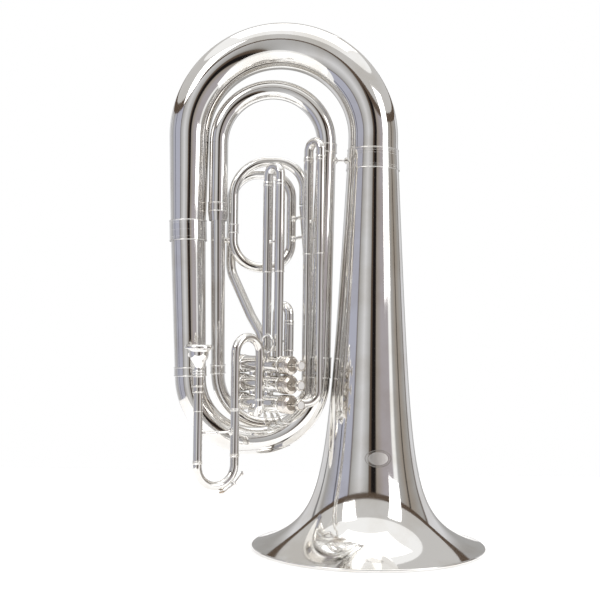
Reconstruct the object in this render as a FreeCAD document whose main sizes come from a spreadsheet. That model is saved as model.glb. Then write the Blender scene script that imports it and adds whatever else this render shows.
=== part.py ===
import FreeCAD, Part
import math
import os
import re

from FreeCAD import Placement, Rotation, Vector

# A small three-valve tuba, standing on its bell.  Millimetres, +Z up.  The origin lies on the
# floor under the middle of the instrument; the bell's axis is vertical and stands to the right
# of it, and the other tubes are wrapped in a plane on the left.  The player's side is -Y.

SIZES = [
    # bell: a cone plus a flare that dies away with height
    ("bell_rim_radius", 190.5), ("bell_rim_width", 5.2), ("bell_rim_height", 4.6),
    ("bell_height", 650), ("bell_wall", 0.7), ("bell_cone_radius", 71.7),
    ("bell_cone_slope", 0.0492), ("bell_flare_length", 84), ("bell_flare_power", 2.334),
    # outer loop: top bow, left branch, bottom bow, right branch
    ("top_bow_crown_height", 857), ("top_bow_span", 303), ("top_bow_crown_radius", 37.3),
    ("left_joint_height", 514), ("left_joint_radius", 28.4),
    ("bottom_bow_height", 275), ("bottom_bow_reach", 296), ("bottom_bow_left_radius", 25.3),
    ("bottom_bow_right_radius", 20.5), ("right_branch_gap", 3.5), ("right_branch_top_reach", 76.5),
    ("right_branch_top_radius", 15.6), ("tube_wall", 0.7),
    # inner loop: inner top bow, inner left branch, inner bottom bow, inner right branch
    ("inner_top_bow_height", 659), ("inner_branch_gap", 1.1), ("inner_branch_radius", 15.3),
    ("reducer_height", 546), ("inner_lower_radius", 11.9), ("inner_bottom_height", 279),
    ("inner_bottom_depth", 26), ("inner_bottom_radius", 11.2), ("inner_right_radius", 10),
    ("inner_right_depth", 36.5), ("left_side_inset", 0.4), ("joint_gap", 1.5),
    ("loose_ferrule_gap", 1),
    # coil of narrow tubing between the inner loop and the valves
    ("coil_radius", 8), ("coil_left_reach", 230), ("coil_right_reach", 135),
    ("coil_start_reach", 113), ("coil_start_height", 560), ("coil_start_depth", 13),
    ("coil_top_height", 631), ("coil_bottom_height", 456), ("coil_depth", 11),
    ("coil_pitch", 18), ("coil_drop", 18), ("coil_shift", 5), ("small_wall", 0.6),
    # the coil's outlet: down, over to its knee, then behind and into valve 1
    ("outlet_drop", 92), ("outlet_step", 4), ("outlet_knee_reach", 32),
    ("outlet_knee_depth", 2), ("outlet_knee_rise", 78), ("outlet_back", 24),
    ("outlet_rise", 46),
    # ferrules and guards
    ("ferrule_wall", 0.9), ("ferrule_gap", 0.06), ("bead_radius", 0.8), ("bead_rise", 0.8),
    ("ferrule_length", 34), ("small_ferrule_length", 15), ("coil_collar_height", 512),
    ("outlet_collar_drop", 6), ("guard_wall", 0.8), ("guard_gap", 0.1),
    # valve block: three casings in a column, pistons pointing right and towards the player
    ("valve_reach", 172), ("valve_depth", 40), ("valve_turn", 45), ("valve_top_height", 297),
    ("valve_pitch", 30.5), ("casing_radius", 13.25), ("casing_wall", 1.1),
    ("casing_start", -62), ("casing_length", 126), ("cap_wall", 1.5), ("cap_skirt", 14),
    ("cap_thickness", 4), ("cap_crown_inset", 3), ("cap_fit", 0.06), ("stem_hole_gap", 0.6),
    ("piston_start", -38), ("piston_length", 84), ("piston_fit", 0.05),
    ("piston_wall", 0.9),
    ("port_radius", 6.6), ("middle_port_station", -5), ("port_liner", 0.6), ("stem_radius", 2.4), ("stem_length", 40.5),
    ("button_radius", 8.6), ("button_thickness", 5.4), ("felt_radius", 7.2),
    ("felt_thickness", 2), ("felt_fit", 0.1), ("spring_wire", 0.9), ("spring_radius", 8.5),
    ("spring_turns", 5), ("spring_seat_gap", 0.15), ("knuckle_radius", 7.2),
    ("knuckle_left", -24), ("knuckle_right", 14), ("outlet_station", -33), ("solder_gap", 0.05),
    # valve slides: outer sleeves fixed to the casings, inner legs joined by a crook
    ("slide_spacing", 29), ("slide_leg_radius", 6.9), ("slide_wall", 0.5), ("slide_fit", 0.05),
    ("slide_tube_radius", 7.3), ("sleeve_radius", 7.85), ("crook_radius", 7.5),
    ("slide_collar_height", 5), ("slide_stop_gap", 0.3), ("rung_share", 0.35),
    ("first_slide_station", 21), ("first_slide_top", 620), ("first_slide_sleeve", 140),
    ("first_slide_legs", 95),
    ("second_slide_station", 14), ("second_slide_back", 28), ("second_slide_top", 399),
    ("second_slide_sleeve", 44), ("second_slide_legs", 38), ("second_slide_bend", 14),
    ("third_slide_station", 18), ("third_slide_reach", 94), ("third_slide_depth", 35),
    ("third_slide_foot", 276), ("third_slide_top", 663), ("third_slide_sleeve", 152),
    ("third_slide_legs", 105), ("third_slide_bend", 20), ("slide_neck", 14),
    # mouthpiece, leadpipe and its tuning slide
    ("mouthpiece_reach", 259.5), ("mouthpiece_depth", 150), ("mouthpiece_top", 328),
    ("mouthpiece_rim_radius", 22), ("cup_outer_radius", 15.2), ("cup_bore_radius", 16),
    ("cup_depth", 34), ("throat_radius", 4), ("shank_length", 62), ("shank_top_radius", 6.7),
    ("shank_end_radius", 5.5), ("mouthpiece_throat_outer", 6.9), ("shank_fit", 0.04),
    ("receiver_top", 291), ("receiver_length", 36), ("receiver_radius", 8.3),
    ("receiver_bead", 1.4), ("leadpipe_radius", 7.1), ("leadpipe_length", 26),
    ("leadpipe_wall", 0.6), ("tuning_sleeve_radius", 6.7), ("tuning_leg_radius", 6),
    ("tuning_left_foot", 152), ("tuning_right_reach", 208), ("tuning_right_depth", 115),
    ("tuning_right_foot", 160), ("tuning_right_top", 228), ("tuning_legs", 55),
    ("tuning_bow_height", 145), ("tuning_bow_radius", 6.6), ("crook_top", 347),
    ("leadpipe_crook_radius", 7.1), ("crook_taper", 0.2), ("crook_right_reach", 174),
    ("crook_right_depth", 80), ("elbow_height", 221), ("elbow_rise", 27), ("elbow_left", 15),
    ("elbow_back", 32), ("elbow_bend", 14), ("elbow_station", -21), ("ring_length", 3.4),
    ("ring_wall", 1),
    # water key on the tuning slide's bow
    ("key_seat_angle", 76), ("key_pivot_angle", 44), ("nipple_height", 3.2),
    ("nipple_radius", 3), ("cork_thickness", 2.4), ("cork_radius", 3.6), ("key_cup_wall", 0.8),
    ("key_pivot_height", 5.2), ("key_barrel_radius", 2), ("key_barrel_length", 8.6),
    ("key_pin_radius", 0.9), ("key_post_radius", 1.4), ("key_arm_radius", 1.3),
    ("key_touch_length", 20), ("key_touch_radius", 3.9), ("key_touch_thickness", 1.6),
    ("key_fit", 0.05), ("key_gap", 0.3), ("key_spring_wire", 0.35), ("key_spring_gap", 0.75),
    ("key_spring_turns", 2), ("key_spring_length", 1.8), ("key_spring_inset", 0.6),
    # thumb ring and stays
    ("thumb_ring_station", 11), ("thumb_ring_bore", 11.4), ("thumb_ring_wire", 2.1),
    ("thumb_ring_gap", 1.5), ("thumb_post_height", 5),
    ("stay_radius", 2), ("stay_foot_radius", 5.5), ("stay_foot_thickness", 1.2),
    ("bell_stay_height", 632), ("bell_stay_drop", 6), ("bell_stay_ease", 1.9),
    ("slide_stay_high", 538), ("slide_stay_low", 505), ("sleeve_stay_rise", 35),
    ("body_stay_rise", 12), ("body_stay_height", 325), ("casing_stay_shift", 1.4),
    ("valve_stay_drop", 8), ("valve_stay_sink", 2), ("coil_stay_height", 500),
]

doc = FreeCAD.newDocument("tuba")
sheet = doc.addObject("Spreadsheet::Sheet", "dims")
for row, (alias, amount) in enumerate(SIZES, start=1):
    sheet.set(f"A{row}", alias)
    sheet.set(f"B{row}", str(amount))
    sheet.setAlias(f"B{row}", alias)
doc.recompute()

UP = Vector(0, 0, 1)
TINY = 1e-4
nodes = []


# ---- expressions and numbers read from the sheet ----

def cells(expression):
    """An expression in the sheet's words, with each word pointed at the sheet."""
    return re.sub(r"[a-z]+(?:_[a-z]+)+", lambda word: "dims." + word.group(), expression)


def size(expression):
    """The number that an expression in the sheet's words has now."""
    return float(sheet.evalExpression(cells(expression)))


def bind(feature, **expressions):
    for name, expression in expressions.items():
        feature.setExpression(name, cells(expression))


def node(feature, label):
    """Name a finished sub-part: its label is also the name of its file."""
    feature.Label = label
    nodes.append(feature)
    return feature


# ---- places ----

def bell_radius(height):
    """The bell's outer radius at a height."""
    above = height - size("bell_rim_height")
    seat = size("bell_rim_radius - bell_rim_width / 2")
    fade = size("bell_flare_length") / (above + size("bell_flare_length"))
    flare = (seat - size("bell_cone_radius")) * fade ** size("bell_flare_power")
    return size("bell_cone_radius") - size("bell_cone_slope") * above + flare


bell_top_radius = bell_radius(size("bell_height"))
top_bow_bend = size("top_bow_span / 2")
top_bow_axis = size("top_bow_crown_height - top_bow_crown_radius")
left_side_radius = size("(top_bow_crown_radius + left_joint_radius) / 2 - left_side_inset")
left_edge = size("top_bow_span") + left_side_radius
inner_branch_reach = left_edge - 2 * left_side_radius \
    - size("inner_branch_gap + inner_branch_radius")
bell_x = (left_edge - size("bell_rim_radius")) / 2


def at(reach, depth, height):
    """A point left of the bell's axis by reach, behind the bell's plane by depth."""
    return Vector(bell_x - reach, depth, height)


def on_valve(number, station, back=0, rise=0):
    """A point by valve 1 to 3: station runs along the piston to its button."""
    turn = math.radians(size("valve_turn"))
    return at(
        size("valve_reach") - station * math.cos(turn) - back * math.sin(turn),
        -size("valve_depth") - station * math.sin(turn) + back * math.cos(turn),
        size("valve_top_height") - (number - 1) * size("valve_pitch") + rise,
    )


VALVE_AXIS = (on_valve(1, 1) - on_valve(1, 0)).normalize()
VALVE_BACK = (on_valve(1, 0, 1) - on_valve(1, 0)).normalize()


# ---- building blocks ----

def bent_path(points, radii=()):
    """Straight runs from point to point, with a tangent arc of its own radius at each corner."""
    edges = []
    start = points[0]
    for before, corner, after, radius in zip(points, points[1:], points[2:], radii):
        inward = (before - corner).normalize()
        outward = (after - corner).normalize()
        half_turn = (math.pi - inward.getAngle(outward)) / 2
        first = corner + inward * (radius * math.tan(half_turn))
        last = corner + outward * (radius * math.tan(half_turn))
        bulge = (inward + outward).normalize() * (radius / math.cos(half_turn) - radius)
        if (first - start).Length > TINY:
            edges.append(Part.LineSegment(start, first).toShape())
        edges.append(Part.Arc(first, corner + bulge, last).toShape())
        start = last
    if (points[-1] - start).Length > TINY:
        edges.append(Part.LineSegment(start, points[-1]).toShape())
    return Part.Wire(edges)


def leaning_path(first, last):
    """One straight run, a joint gap short at both ends because it meets its neighbours askew."""
    inset = (last - first).normalize() * size("joint_gap")
    return bent_path([first + inset, last - inset])


def u_path(first, second, reach):
    """Two parallel legs from first and second, joined by a half circle at their far ends."""
    far_first, far_second = first + reach, second + reach
    bend = (first - second).Length / 2
    return bent_path([first, far_first, far_second, second], [bend, bend])


def circle(name, radius, point, direction):
    ring = doc.addObject("Part::Circle", name)
    bind(ring, Radius=radius)
    ring.Placement = Placement(point, Rotation(UP, direction))
    return ring


def sweep(name, spine, stations, offset):
    """A solid along a spine, round, with its radius given at some of the spine's corners."""
    edges = spine.Shape.Edges
    sections = []
    for place, radius in stations:
        edge = edges[min(place, len(edges) - 1)]
        parameter = edge.FirstParameter if place < len(edges) else edge.LastParameter
        point, direction = edge.valueAt(parameter), edge.tangentAt(parameter)
        sections.append(circle(f"{name}_section", f"{radius}{offset}", point, direction))
    solid = doc.addObject("Part::Sweep", name)
    solid.Sections = sections
    solid.Spine = (spine, [f"Edge{number + 1}" for number in range(len(edges))])
    solid.Solid = True
    solid.Frenet = False
    return solid


def swept(name, path, start, end, middle=None, offset=""):
    """One solid round rod along a path, tapered where its start and end radii differ."""
    spine = doc.addObject("Part::Feature", name + "_spine")
    spine.Shape = path
    count = len(path.Edges)
    stations = [(0, start)]
    if middle:
        stations.append((count // 2, middle))
    if end != start:
        stations.append((count, end))
    return sweep(name, spine, stations, offset)


def cut(base, tool, name):
    feature = doc.addObject("Part::Cut", name)
    feature.Base = base
    feature.Tool = tool
    return feature


def fuse(parts, name):
    feature = doc.addObject("Part::MultiFuse", name)
    feature.Shapes = parts
    return feature


def group(parts, name):
    feature = doc.addObject("Part::Compound", name)
    feature.Links = parts
    return feature


def pipe(name, path, start, end=None, wall="tube_wall", middle=None):
    """A hollow tube along a path: the outer sweep with its bore taken out."""
    end = end or start
    outer = swept(name + "_outer", path, start, end, middle)
    bore = swept(name + "_bore", path, start, end, middle, offset=f" - {wall}")
    return cut(outer, bore, name)


def cylinder(name, point, direction, radius, length):
    feature = doc.addObject("Part::Cylinder", name)
    bind(feature, Radius=radius, Height=length)
    feature.Placement = Placement(point, Rotation(UP, direction))
    return feature


def cone(name, point, direction, start, end, length):
    feature = doc.addObject("Part::Cone", name)
    bind(feature, Radius1=start, Radius2=end, Height=length)
    feature.Placement = Placement(point, Rotation(UP, direction))
    return feature


def torus(name, point, direction, radius, wire):
    feature = doc.addObject("Part::Torus", name)
    bind(feature, Radius1=radius, Radius2=wire)
    feature.Placement = Placement(point, Rotation(UP, direction))
    return feature


def turned(name, edges, place):
    """A solid of revolution about Z: edges close a face in the XZ plane, in any order."""
    profile = doc.addObject("Part::Feature", name + "_profile")
    profile.Shape = Part.Face(Part.Wire(Part.__sortEdges__(edges)))
    solid = doc.addObject("Part::Revolution", name)
    solid.Source = profile
    solid.Axis = UP
    solid.Angle = 360
    solid.Placement = place
    return solid


def banded_profile(bores, outsides, length, bands, bulge):
    """A sleeve in section, foot to top, with a rounded band round its outside at each height."""
    def outside(height, proud=0):
        radius = outsides[0] + (outsides[1] - outsides[0]) * height / length
        return Vector(radius + proud, 0, height)
    edges, point = [], outside(0)
    for height in bands:
        start, end = outside(height - bulge), outside(height + bulge)
        if (start - point).Length > TINY:
            edges.append(Part.LineSegment(point, start).toShape())
        edges.append(Part.Arc(start, outside(height, bulge * size("bead_rise")), end).toShape())
        point = end
    corners = [Vector(bores[1], 0, length), Vector(bores[0], 0, 0), outside(0)]
    if (outside(length) - point).Length > TINY:
        corners.insert(0, outside(length))
    for corner in corners:
        edges.append(Part.LineSegment(point, corner).toShape())
        point = corner
    return edges


def conical_sleeve(name, point, direction, start, end, length, wall="ferrule_wall"):
    """A round sleeve whose bore goes from one radius to another, with a bead at each end."""
    bores, tall, bead = (size(start), size(end)), size(length), size("bead_radius")
    outsides = [bore + size(wall) for bore in bores]
    edges = banded_profile(bores, outsides, tall, (bead, tall - bead), bead)
    return turned(name, edges, Placement(point, Rotation(UP, Vector(direction))))


def sleeve(name, point, direction, bore, length, wall="ferrule_wall"):
    """A straight round sleeve with a bead at each end."""
    return conical_sleeve(name, point, direction, bore, bore, length, wall)


def stay(name, first, second, radius="stay_radius"):
    """A rod from one point to another."""
    rod = doc.addObject("Part::Cylinder", name)
    bind(rod, Radius=radius)
    rod.Height = (second - first).Length
    rod.Placement = Placement(first, Rotation(UP, second - first))
    return rod


# ---- bell ----

def bell_wall_profile(steps=14):
    """The bell's wall in section, seated on the rim wire, with more points where it flares."""
    seat, top = size("bell_rim_height"), size("bell_height")
    heights = [seat + (top - seat) * (step / steps) ** 2 for step in range(steps + 1)]
    outer, inner = [], []
    for height in heights:
        slope = (bell_radius(height) - bell_radius(height + 0.1)) / 0.1
        radius = bell_radius(height)
        outer.append(Vector(radius, 0, height))
        inner.append(Vector(radius - size("bell_wall") * math.hypot(1, slope), 0, height))
    edges = []
    for points in (outer, inner[::-1]):
        curve = Part.BSplineCurve()
        curve.interpolate(points)
        edges.append(curve.toShape())
    top_edge = Part.LineSegment(outer[-1], inner[-1]).toShape()
    seat_edge = Part.LineSegment(inner[0], outer[0]).toShape()
    return [edges[0], top_edge, edges[1], seat_edge]


def rim_profile():
    """The rolled rim in section: a rounded bar with a flat underside."""
    outer, width = size("bell_rim_radius"), size("bell_rim_width")
    height = size("bell_rim_height")
    corner = width / 3
    corners = [Vector(outer - width, 0, 0), Vector(outer, 0, 0), Vector(outer, 0, height),
               Vector(outer - width, 0, height)]
    middle = (corners[0] + corners[1]) * 0.5
    path = bent_path([middle] + corners[1:] + [corners[0], middle], [corner] * 4)
    return path.Edges


bell_place = Placement(Vector(bell_x, 0, 0), Rotation())
node(turned("bell", bell_wall_profile(), bell_place), "bell")
node(turned("rim", rim_profile(), bell_place), "bell_rim_wire")
ferrule_base = size("bell_height - ferrule_length - ferrule_wall")
node(conical_sleeve("bell_collar", at(0, 0, ferrule_base), UP,
                    f"{bell_radius(ferrule_base):.3f} + ferrule_gap",
                    f"{bell_top_radius:.3f} + ferrule_gap", "ferrule_length"), "bell_ferrule")

# ---- outer loop ----

outer_bend_height = top_bow_axis - top_bow_bend
bell_joint = at(0, 0, size("bell_height"))
left_joint = at(size("top_bow_span"), 0, size("left_joint_height"))
left_foot = at(size("bottom_bow_reach"), 0, size("bottom_bow_height"))
right_reach = bell_radius(size("bottom_bow_height")) \
    + size("right_branch_gap + bottom_bow_right_radius")
right_foot = at(right_reach, 0, size("bottom_bow_height"))
right_top = at(size("right_branch_top_reach"), 0, size("inner_top_bow_height"))
bottom_bend = (size("bottom_bow_reach") - right_reach) / 2
bottom_bow_axis = size("bottom_bow_height") - bottom_bend

top_bow_path = bent_path(
    [bell_joint, at(0, 0, top_bow_axis), at(size("top_bow_span"), 0, top_bow_axis), left_joint],
    [top_bow_bend, top_bow_bend],
)
top_start = f"{bell_top_radius:.3f}"
node(pipe("top_bow", top_bow_path, top_start, "left_joint_radius",
          middle="top_bow_crown_radius"), "top_bow")
node(pipe("left_branch", leaning_path(left_joint, left_foot), "left_joint_radius",
          "bottom_bow_left_radius"), "left_branch")
bottom_bow_path = u_path(left_foot, right_foot, UP * -bottom_bend)
node(pipe("bottom_bow", bottom_bow_path, "bottom_bow_left_radius", "bottom_bow_right_radius"),
     "bottom_bow")
node(pipe("right_branch", leaning_path(right_foot, right_top), "bottom_bow_right_radius",
          "right_branch_top_radius"), "right_branch")
left_lean = (left_joint - left_foot).normalize()
node(sleeve("left_collar", left_joint - left_lean * size("ferrule_length / 2"), left_lean,
            "left_joint_radius + loose_ferrule_gap", "ferrule_length"), "left_branch_ferrule")
bottom_ferrules = [
    sleeve("left_foot_collar", left_foot, left_joint - left_foot,
           "bottom_bow_left_radius + 4 * ferrule_gap", "small_ferrule_length"),
    sleeve("right_foot_collar", right_foot, right_top - right_foot,
           "bottom_bow_right_radius + 4 * ferrule_gap", "ferrule_length"),
]
node(group(bottom_ferrules, "bottom_collars"), "bottom_bow_ferrules")


def guard(name, path, stations, keep, spread):
    """A thin plate lying on a bow: the part of a shell round it inside two keeping solids."""
    start, end, middle = stations
    shell_outer = swept(name + "_face", path, start, end, middle, " + guard_gap + guard_wall")
    shell_inner = swept(name + "_back", path, start, end, middle, " + guard_gap")
    shell = cut(shell_outer, shell_inner, name + "_shell")
    point, outward = keep
    wedge = doc.addObject("Part::Cone", name + "_wedge")
    wedge.Radius1 = 0
    wedge.Radius2 = spread
    wedge.Height = point.distanceToPoint(outward)
    wedge.Placement = Placement(point, Rotation(UP, outward - point))
    plate = doc.addObject("Part::Common", name)
    plate.Base = shell
    plate.Tool = wedge
    return plate


top_centre = at(size("top_bow_span / 2"), 0, outer_bend_height)
guard_reach = UP * (top_bow_bend + 2 * size("top_bow_crown_radius"))
top_guard_depth, top_guard_spread = 20, 150
node(guard("top_guard", top_bow_path, (top_start, "left_joint_radius", "top_bow_crown_radius"),
           (top_centre + UP * (top_bow_bend - top_guard_depth), top_centre + guard_reach),
           top_guard_spread), "top_bow_guard")
bottom_centre = (left_foot + right_foot) * 0.5
guard_aim = Vector(0.1, 0, -1).normalize()
bottom_guard_depth, bottom_guard_reach, bottom_guard_spread = 10, 60, 45
node(guard("bottom_guard", bottom_bow_path,
           ("bottom_bow_left_radius", "bottom_bow_right_radius", None),
           (bottom_centre + guard_aim * (bottom_bend - bottom_guard_depth),
            bottom_centre + guard_aim * (bottom_bend + bottom_guard_reach)),
           bottom_guard_spread), "bottom_bow_guard")

# ---- inner loop ----

inner_top = at(inner_branch_reach, 0, size("inner_top_bow_height"))
inner_bend = (inner_branch_reach - size("right_branch_top_reach")) / 2
reducer = at(inner_branch_reach, 0, size("reducer_height"))
inner_left_foot = at(inner_branch_reach, size("inner_bottom_depth"),
                     size("inner_bottom_height"))
inner_right_foot = at(right_reach, size("inner_right_depth"), size("inner_bottom_height"))
inner_bottom_bend = (inner_left_foot - inner_right_foot).Length / 2
coil_start = at(size("coil_start_reach"), size("coil_start_depth"), size("coil_start_height"))

node(pipe("inner_top_bow", u_path(inner_top, right_top, UP * inner_bend), "inner_branch_radius",
          "right_branch_top_radius"), "inner_top_bow")
node(pipe("inner_left_upper", bent_path([inner_top, reducer]), "inner_branch_radius"),
     "inner_left_branch_upper")
node(pipe("inner_left_lower", leaning_path(reducer, inner_left_foot), "inner_lower_radius",
          "inner_bottom_radius", "small_wall"), "inner_left_branch_lower")
reducer_parts = [
    sleeve("reducer_top", reducer, UP, "inner_branch_radius + ferrule_gap",
           "small_ferrule_length"),
    cut(cone("reducer_cone", reducer, Vector(0, 0, -1), "inner_branch_radius + ferrule_wall",
             "inner_lower_radius + 3 * ferrule_wall", "small_ferrule_length"),
        cylinder("reducer_bore", reducer, Vector(0, 0, -1),
                 "inner_lower_radius + 2 * ferrule_wall", "small_ferrule_length"),
        "reducer_skirt"),
]
node(group(reducer_parts, "reducer"), "inner_branch_reducer")
node(pipe("inner_bottom_bow", u_path(inner_left_foot, inner_right_foot, UP * -inner_bottom_bend),
          "inner_bottom_radius", "inner_right_radius", "small_wall"), "inner_bottom_bow")
node(pipe("inner_right", leaning_path(inner_right_foot, coil_start), "inner_right_radius",
          "coil_radius", "small_wall"), "inner_right_branch")

# ---- coil and valve outlet ----

left, right = size("coil_left_reach"), size("coil_right_reach")
depth, pitch = size("coil_depth"), size("coil_pitch")
top, bottom = size("coil_top_height"), size("coil_bottom_height")
back_left, back_top = left + size("coil_shift"), top - size("coil_drop")
outlet_start = at(back_left, depth + pitch, (top + bottom) / 2)
coil_points = [
    coil_start,
    at(size("coil_start_reach"), depth, top),
    at(left, depth, top),
    at(left, depth, bottom),
    at(right, depth + pitch, bottom),
    at(right, depth + pitch, back_top),
    at(back_left, depth + pitch, back_top),
    outlet_start,
]
coil_bends = [46, 58, 46, 42, 40, 44]
outlet_bends = [60, 60, 30, 13]
node(pipe("main_coil", bent_path(coil_points, coil_bends), "coil_radius", wall="small_wall"),
     "main_coil")
outlet_mouth = on_valve(1, size("outlet_station"))
outlet_back = on_valve(1, size("outlet_station"), size("outlet_back"))
outlet_points = [
    outlet_start - UP * size("joint_gap"),
    outlet_start + Vector(0, -size("outlet_step"), -size("outlet_drop")),
    at(left - size("outlet_knee_reach"), depth - size("outlet_knee_depth"),
       size("valve_top_height + outlet_knee_rise")),
    outlet_back + UP * size("outlet_rise"),
    outlet_back,
    outlet_mouth,
]
outlet = pipe("outlet", bent_path(outlet_points, outlet_bends), "coil_radius",
              wall="small_wall")

# ---- valve block ----

first, last = size("casing_start"), size("casing_start + casing_length")
overrun = 20
clearances = [
    cylinder(f"clearance_{number}", on_valve(number, first - overrun), VALVE_AXIS,
             "casing_radius + solder_gap", f"casing_length + 2 * {overrun}")
    for number in (1, 2, 3)
]
block_clearance = fuse(clearances, "block_clearance")


def to_block(feature, name):
    """End a tube on the outside of the casings."""
    return cut(feature, block_clearance, name)


node(to_block(outlet, "outlet_tube"), "valve_outlet_tube")

elbow_mouth = on_valve(3, size("elbow_station"))
elbow_port_way = Vector(0.1, -0.9, -0.4)
spacing = size("slide_spacing / 2")
slide_stations = {1: size("first_slide_station"), 2: size("second_slide_station"),
                  3: size("third_slide_station")}
knuckle_stations = (size("knuckle_left"), size("knuckle_right"))
second_back = size("second_slide_back")
third_centre = at(size("third_slide_reach"), -size("third_slide_depth"),
                  size("third_slide_foot"))


def slide_directions(number):
    """The way in which a valve's two slide tubes leave its casing."""
    if number == 1:
        return UP
    if number == 2:
        return VALVE_BACK
    level = Vector(third_centre.x, third_centre.y, on_valve(3, 0).z)
    return (level - on_valve(3, slide_stations[3])).normalize()


def casing_ports(number):
    """Where air passes through a casing's wall: points on its axis, and directions."""
    ports = [(on_valve(number, slide_stations[number] + side * spacing),
              slide_directions(number)) for side in (-1, 1)]
    if number < 3:
        ports += [(on_valve(number, station), UP * -1) for station in knuckle_stations]
    if number > 1:
        ports += [(on_valve(number, station), UP) for station in knuckle_stations]
    if number == 1:
        ports.append((outlet_mouth, VALVE_BACK))
    if number == 3:
        ports.append((elbow_mouth, elbow_port_way))
    return ports


top_caps, bottom_caps = [], []
for number in (1, 2, 3):
    name = f"casing_{number}"
    tube = cylinder(name + "_tube", on_valve(number, first), VALVE_AXIS, "casing_radius",
                    "casing_length")
    bore = cylinder(name + "_bore", on_valve(number, first), VALVE_AXIS,
                    "casing_radius - casing_wall", "casing_length")
    holes = [cylinder(f"{name}_port", point, direction, "port_radius", "casing_radius + 2")
             for point, direction in casing_ports(number)]
    node(cut(tube, fuse([bore] + holes, name + "_cuts"), name), f"valve_casing_{number}")

    for caps, end, inward in ((top_caps, last, -1), (bottom_caps, first, 1)):
        label = f"cap_{number}_{end:.0f}"
        face = on_valve(number, end - inward * size("cap_thickness"))
        body = cylinder(label + "_body", face, VALVE_AXIS * inward,
                        "casing_radius + cap_fit + cap_wall", "cap_skirt + cap_thickness")
        crown = cone(label + "_crown", face, VALVE_AXIS * -inward,
                     "casing_radius", "casing_radius - cap_crown_inset", "cap_wall")
        socket = cylinder(label + "_socket", on_valve(number, end), VALVE_AXIS * inward,
                          "casing_radius + cap_fit", "cap_skirt + 1")
        cuts = [socket]
        if inward < 0:
            cuts.append(cylinder(label + "_hole", on_valve(number, end - 1), VALVE_AXIS,
                                 "stem_radius + stem_hole_gap", "cap_thickness + cap_wall + 2"))
        caps.append(cut(fuse([body, crown], label + "_solid"), fuse(cuts, label + "_cuts")
                        if len(cuts) > 1 else socket, label))
node(group(top_caps, "top_caps"), "valve_top_caps")
node(group(bottom_caps, "bottom_caps"), "valve_bottom_caps")

knuckles = []
for number in (1, 2):
    for station in knuckle_stations:
        name = f"knuckle_{number}"
        path = bent_path([on_valve(number, station), on_valve(number + 1, station)])
        tube = pipe(name, path, "knuckle_radius", wall="small_wall")
        knuckles.append(to_block(tube, name + "_joint"))
node(group(knuckles, "knuckles"), "valve_knuckles")


def coil_spring(name, point, direction, radius, wire, turns, length):
    """A round-wire helix along a direction, starting at a point."""
    helix = doc.addObject("Part::Helix", name + "_helix")
    bind(helix, Radius=radius, Height=length, Pitch=f"({length}) / {turns}")
    helix.Placement = Placement(point, Rotation(UP, direction))
    start = helix.Placement.multVec(Vector(size(radius), 0, 0))
    heading = helix.Placement.Rotation.multVec(Vector(0, 1, 0))
    doc.recompute()
    spring = doc.addObject("Part::Sweep", name)
    spring.Sections = [circle(name + "_section", wire, start, heading)]
    spring.Spine = (helix, [f"Edge{place + 1}" for place in range(len(helix.Shape.Edges))])
    spring.Solid = True
    spring.Frenet = True
    return spring


piston_stations = (knuckle_stations[0], size("middle_port_station"), knuckle_stations[1])
for number in (1, 2, 3):
    name = f"piston_{number}"
    start = size("piston_start")
    barrel = cylinder(name + "_barrel", on_valve(number, start), VALVE_AXIS,
                      "casing_radius - casing_wall - piston_fit", "piston_length")
    hollow = cylinder(name + "_hollow", on_valve(number, start + size("piston_wall")),
                      VALVE_AXIS, "casing_radius - casing_wall - piston_fit - piston_wall",
                      "piston_length - 2 * piston_wall")
    shell = cut(barrel, hollow, name + "_shell")
    liners, bores = [], []
    for station, direction in zip(piston_stations, (UP, VALVE_BACK, UP)):
        foot = on_valve(number, station) - direction * size("casing_radius")
        liners.append(cylinder(name + "_liner", foot, direction,
                               "port_radius + port_liner", "2 * casing_radius"))
        bores.append(cylinder(name + "_passage", foot, direction, "port_radius",
                              "2 * casing_radius"))
    lining = doc.addObject("Part::Common", name + "_lining")
    lining.Base = barrel
    lining.Tool = fuse(liners, name + "_liners")
    stem = cylinder(name + "_stem", on_valve(number, start + size("piston_length")), VALVE_AXIS,
                    "stem_radius", "stem_length")
    body = fuse([shell, lining, stem], name + "_body")
    node(cut(body, fuse(bores, name + "_passages"), name), f"piston_{number}")

    button_seat = start + size("piston_length + stem_length")
    button = cylinder(f"button_{number}_disc", on_valve(number, button_seat), VALVE_AXIS,
                      "button_radius", "button_thickness")
    rounded = doc.addObject("Part::Fillet", f"button_{number}")
    rounded.Base = button
    doc.recompute()
    edge_round = size("button_thickness") * 0.3
    rounded.Edges = [(place + 1, edge_round, edge_round)
                     for place, edge in enumerate(button.Shape.Edges)
                     if isinstance(edge.Curve, Part.Circle)]
    node(rounded, f"finger_button_{number}")
    felt_seat = button_seat - size("felt_thickness + solder_gap")
    felt = cylinder(f"felt_{number}_disc", on_valve(number, felt_seat), VALVE_AXIS,
                    "felt_radius", "felt_thickness")
    felt_hole = cylinder(f"felt_{number}_hole", on_valve(number, felt_seat), VALVE_AXIS,
                         "stem_radius + felt_fit", "felt_thickness")
    node(cut(felt, felt_hole, f"felt_{number}"), f"button_felt_{number}")
    seat = size("casing_start + spring_wire + spring_seat_gap")
    node(coil_spring(f"spring_{number}", on_valve(number, seat), VALVE_AXIS, "spring_radius",
                     "spring_wire", "spring_turns",
                     "piston_start - casing_start - 2 * spring_wire - 2 * spring_seat_gap"),
         f"valve_spring_{number}")

# ---- valve slides ----

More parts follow.
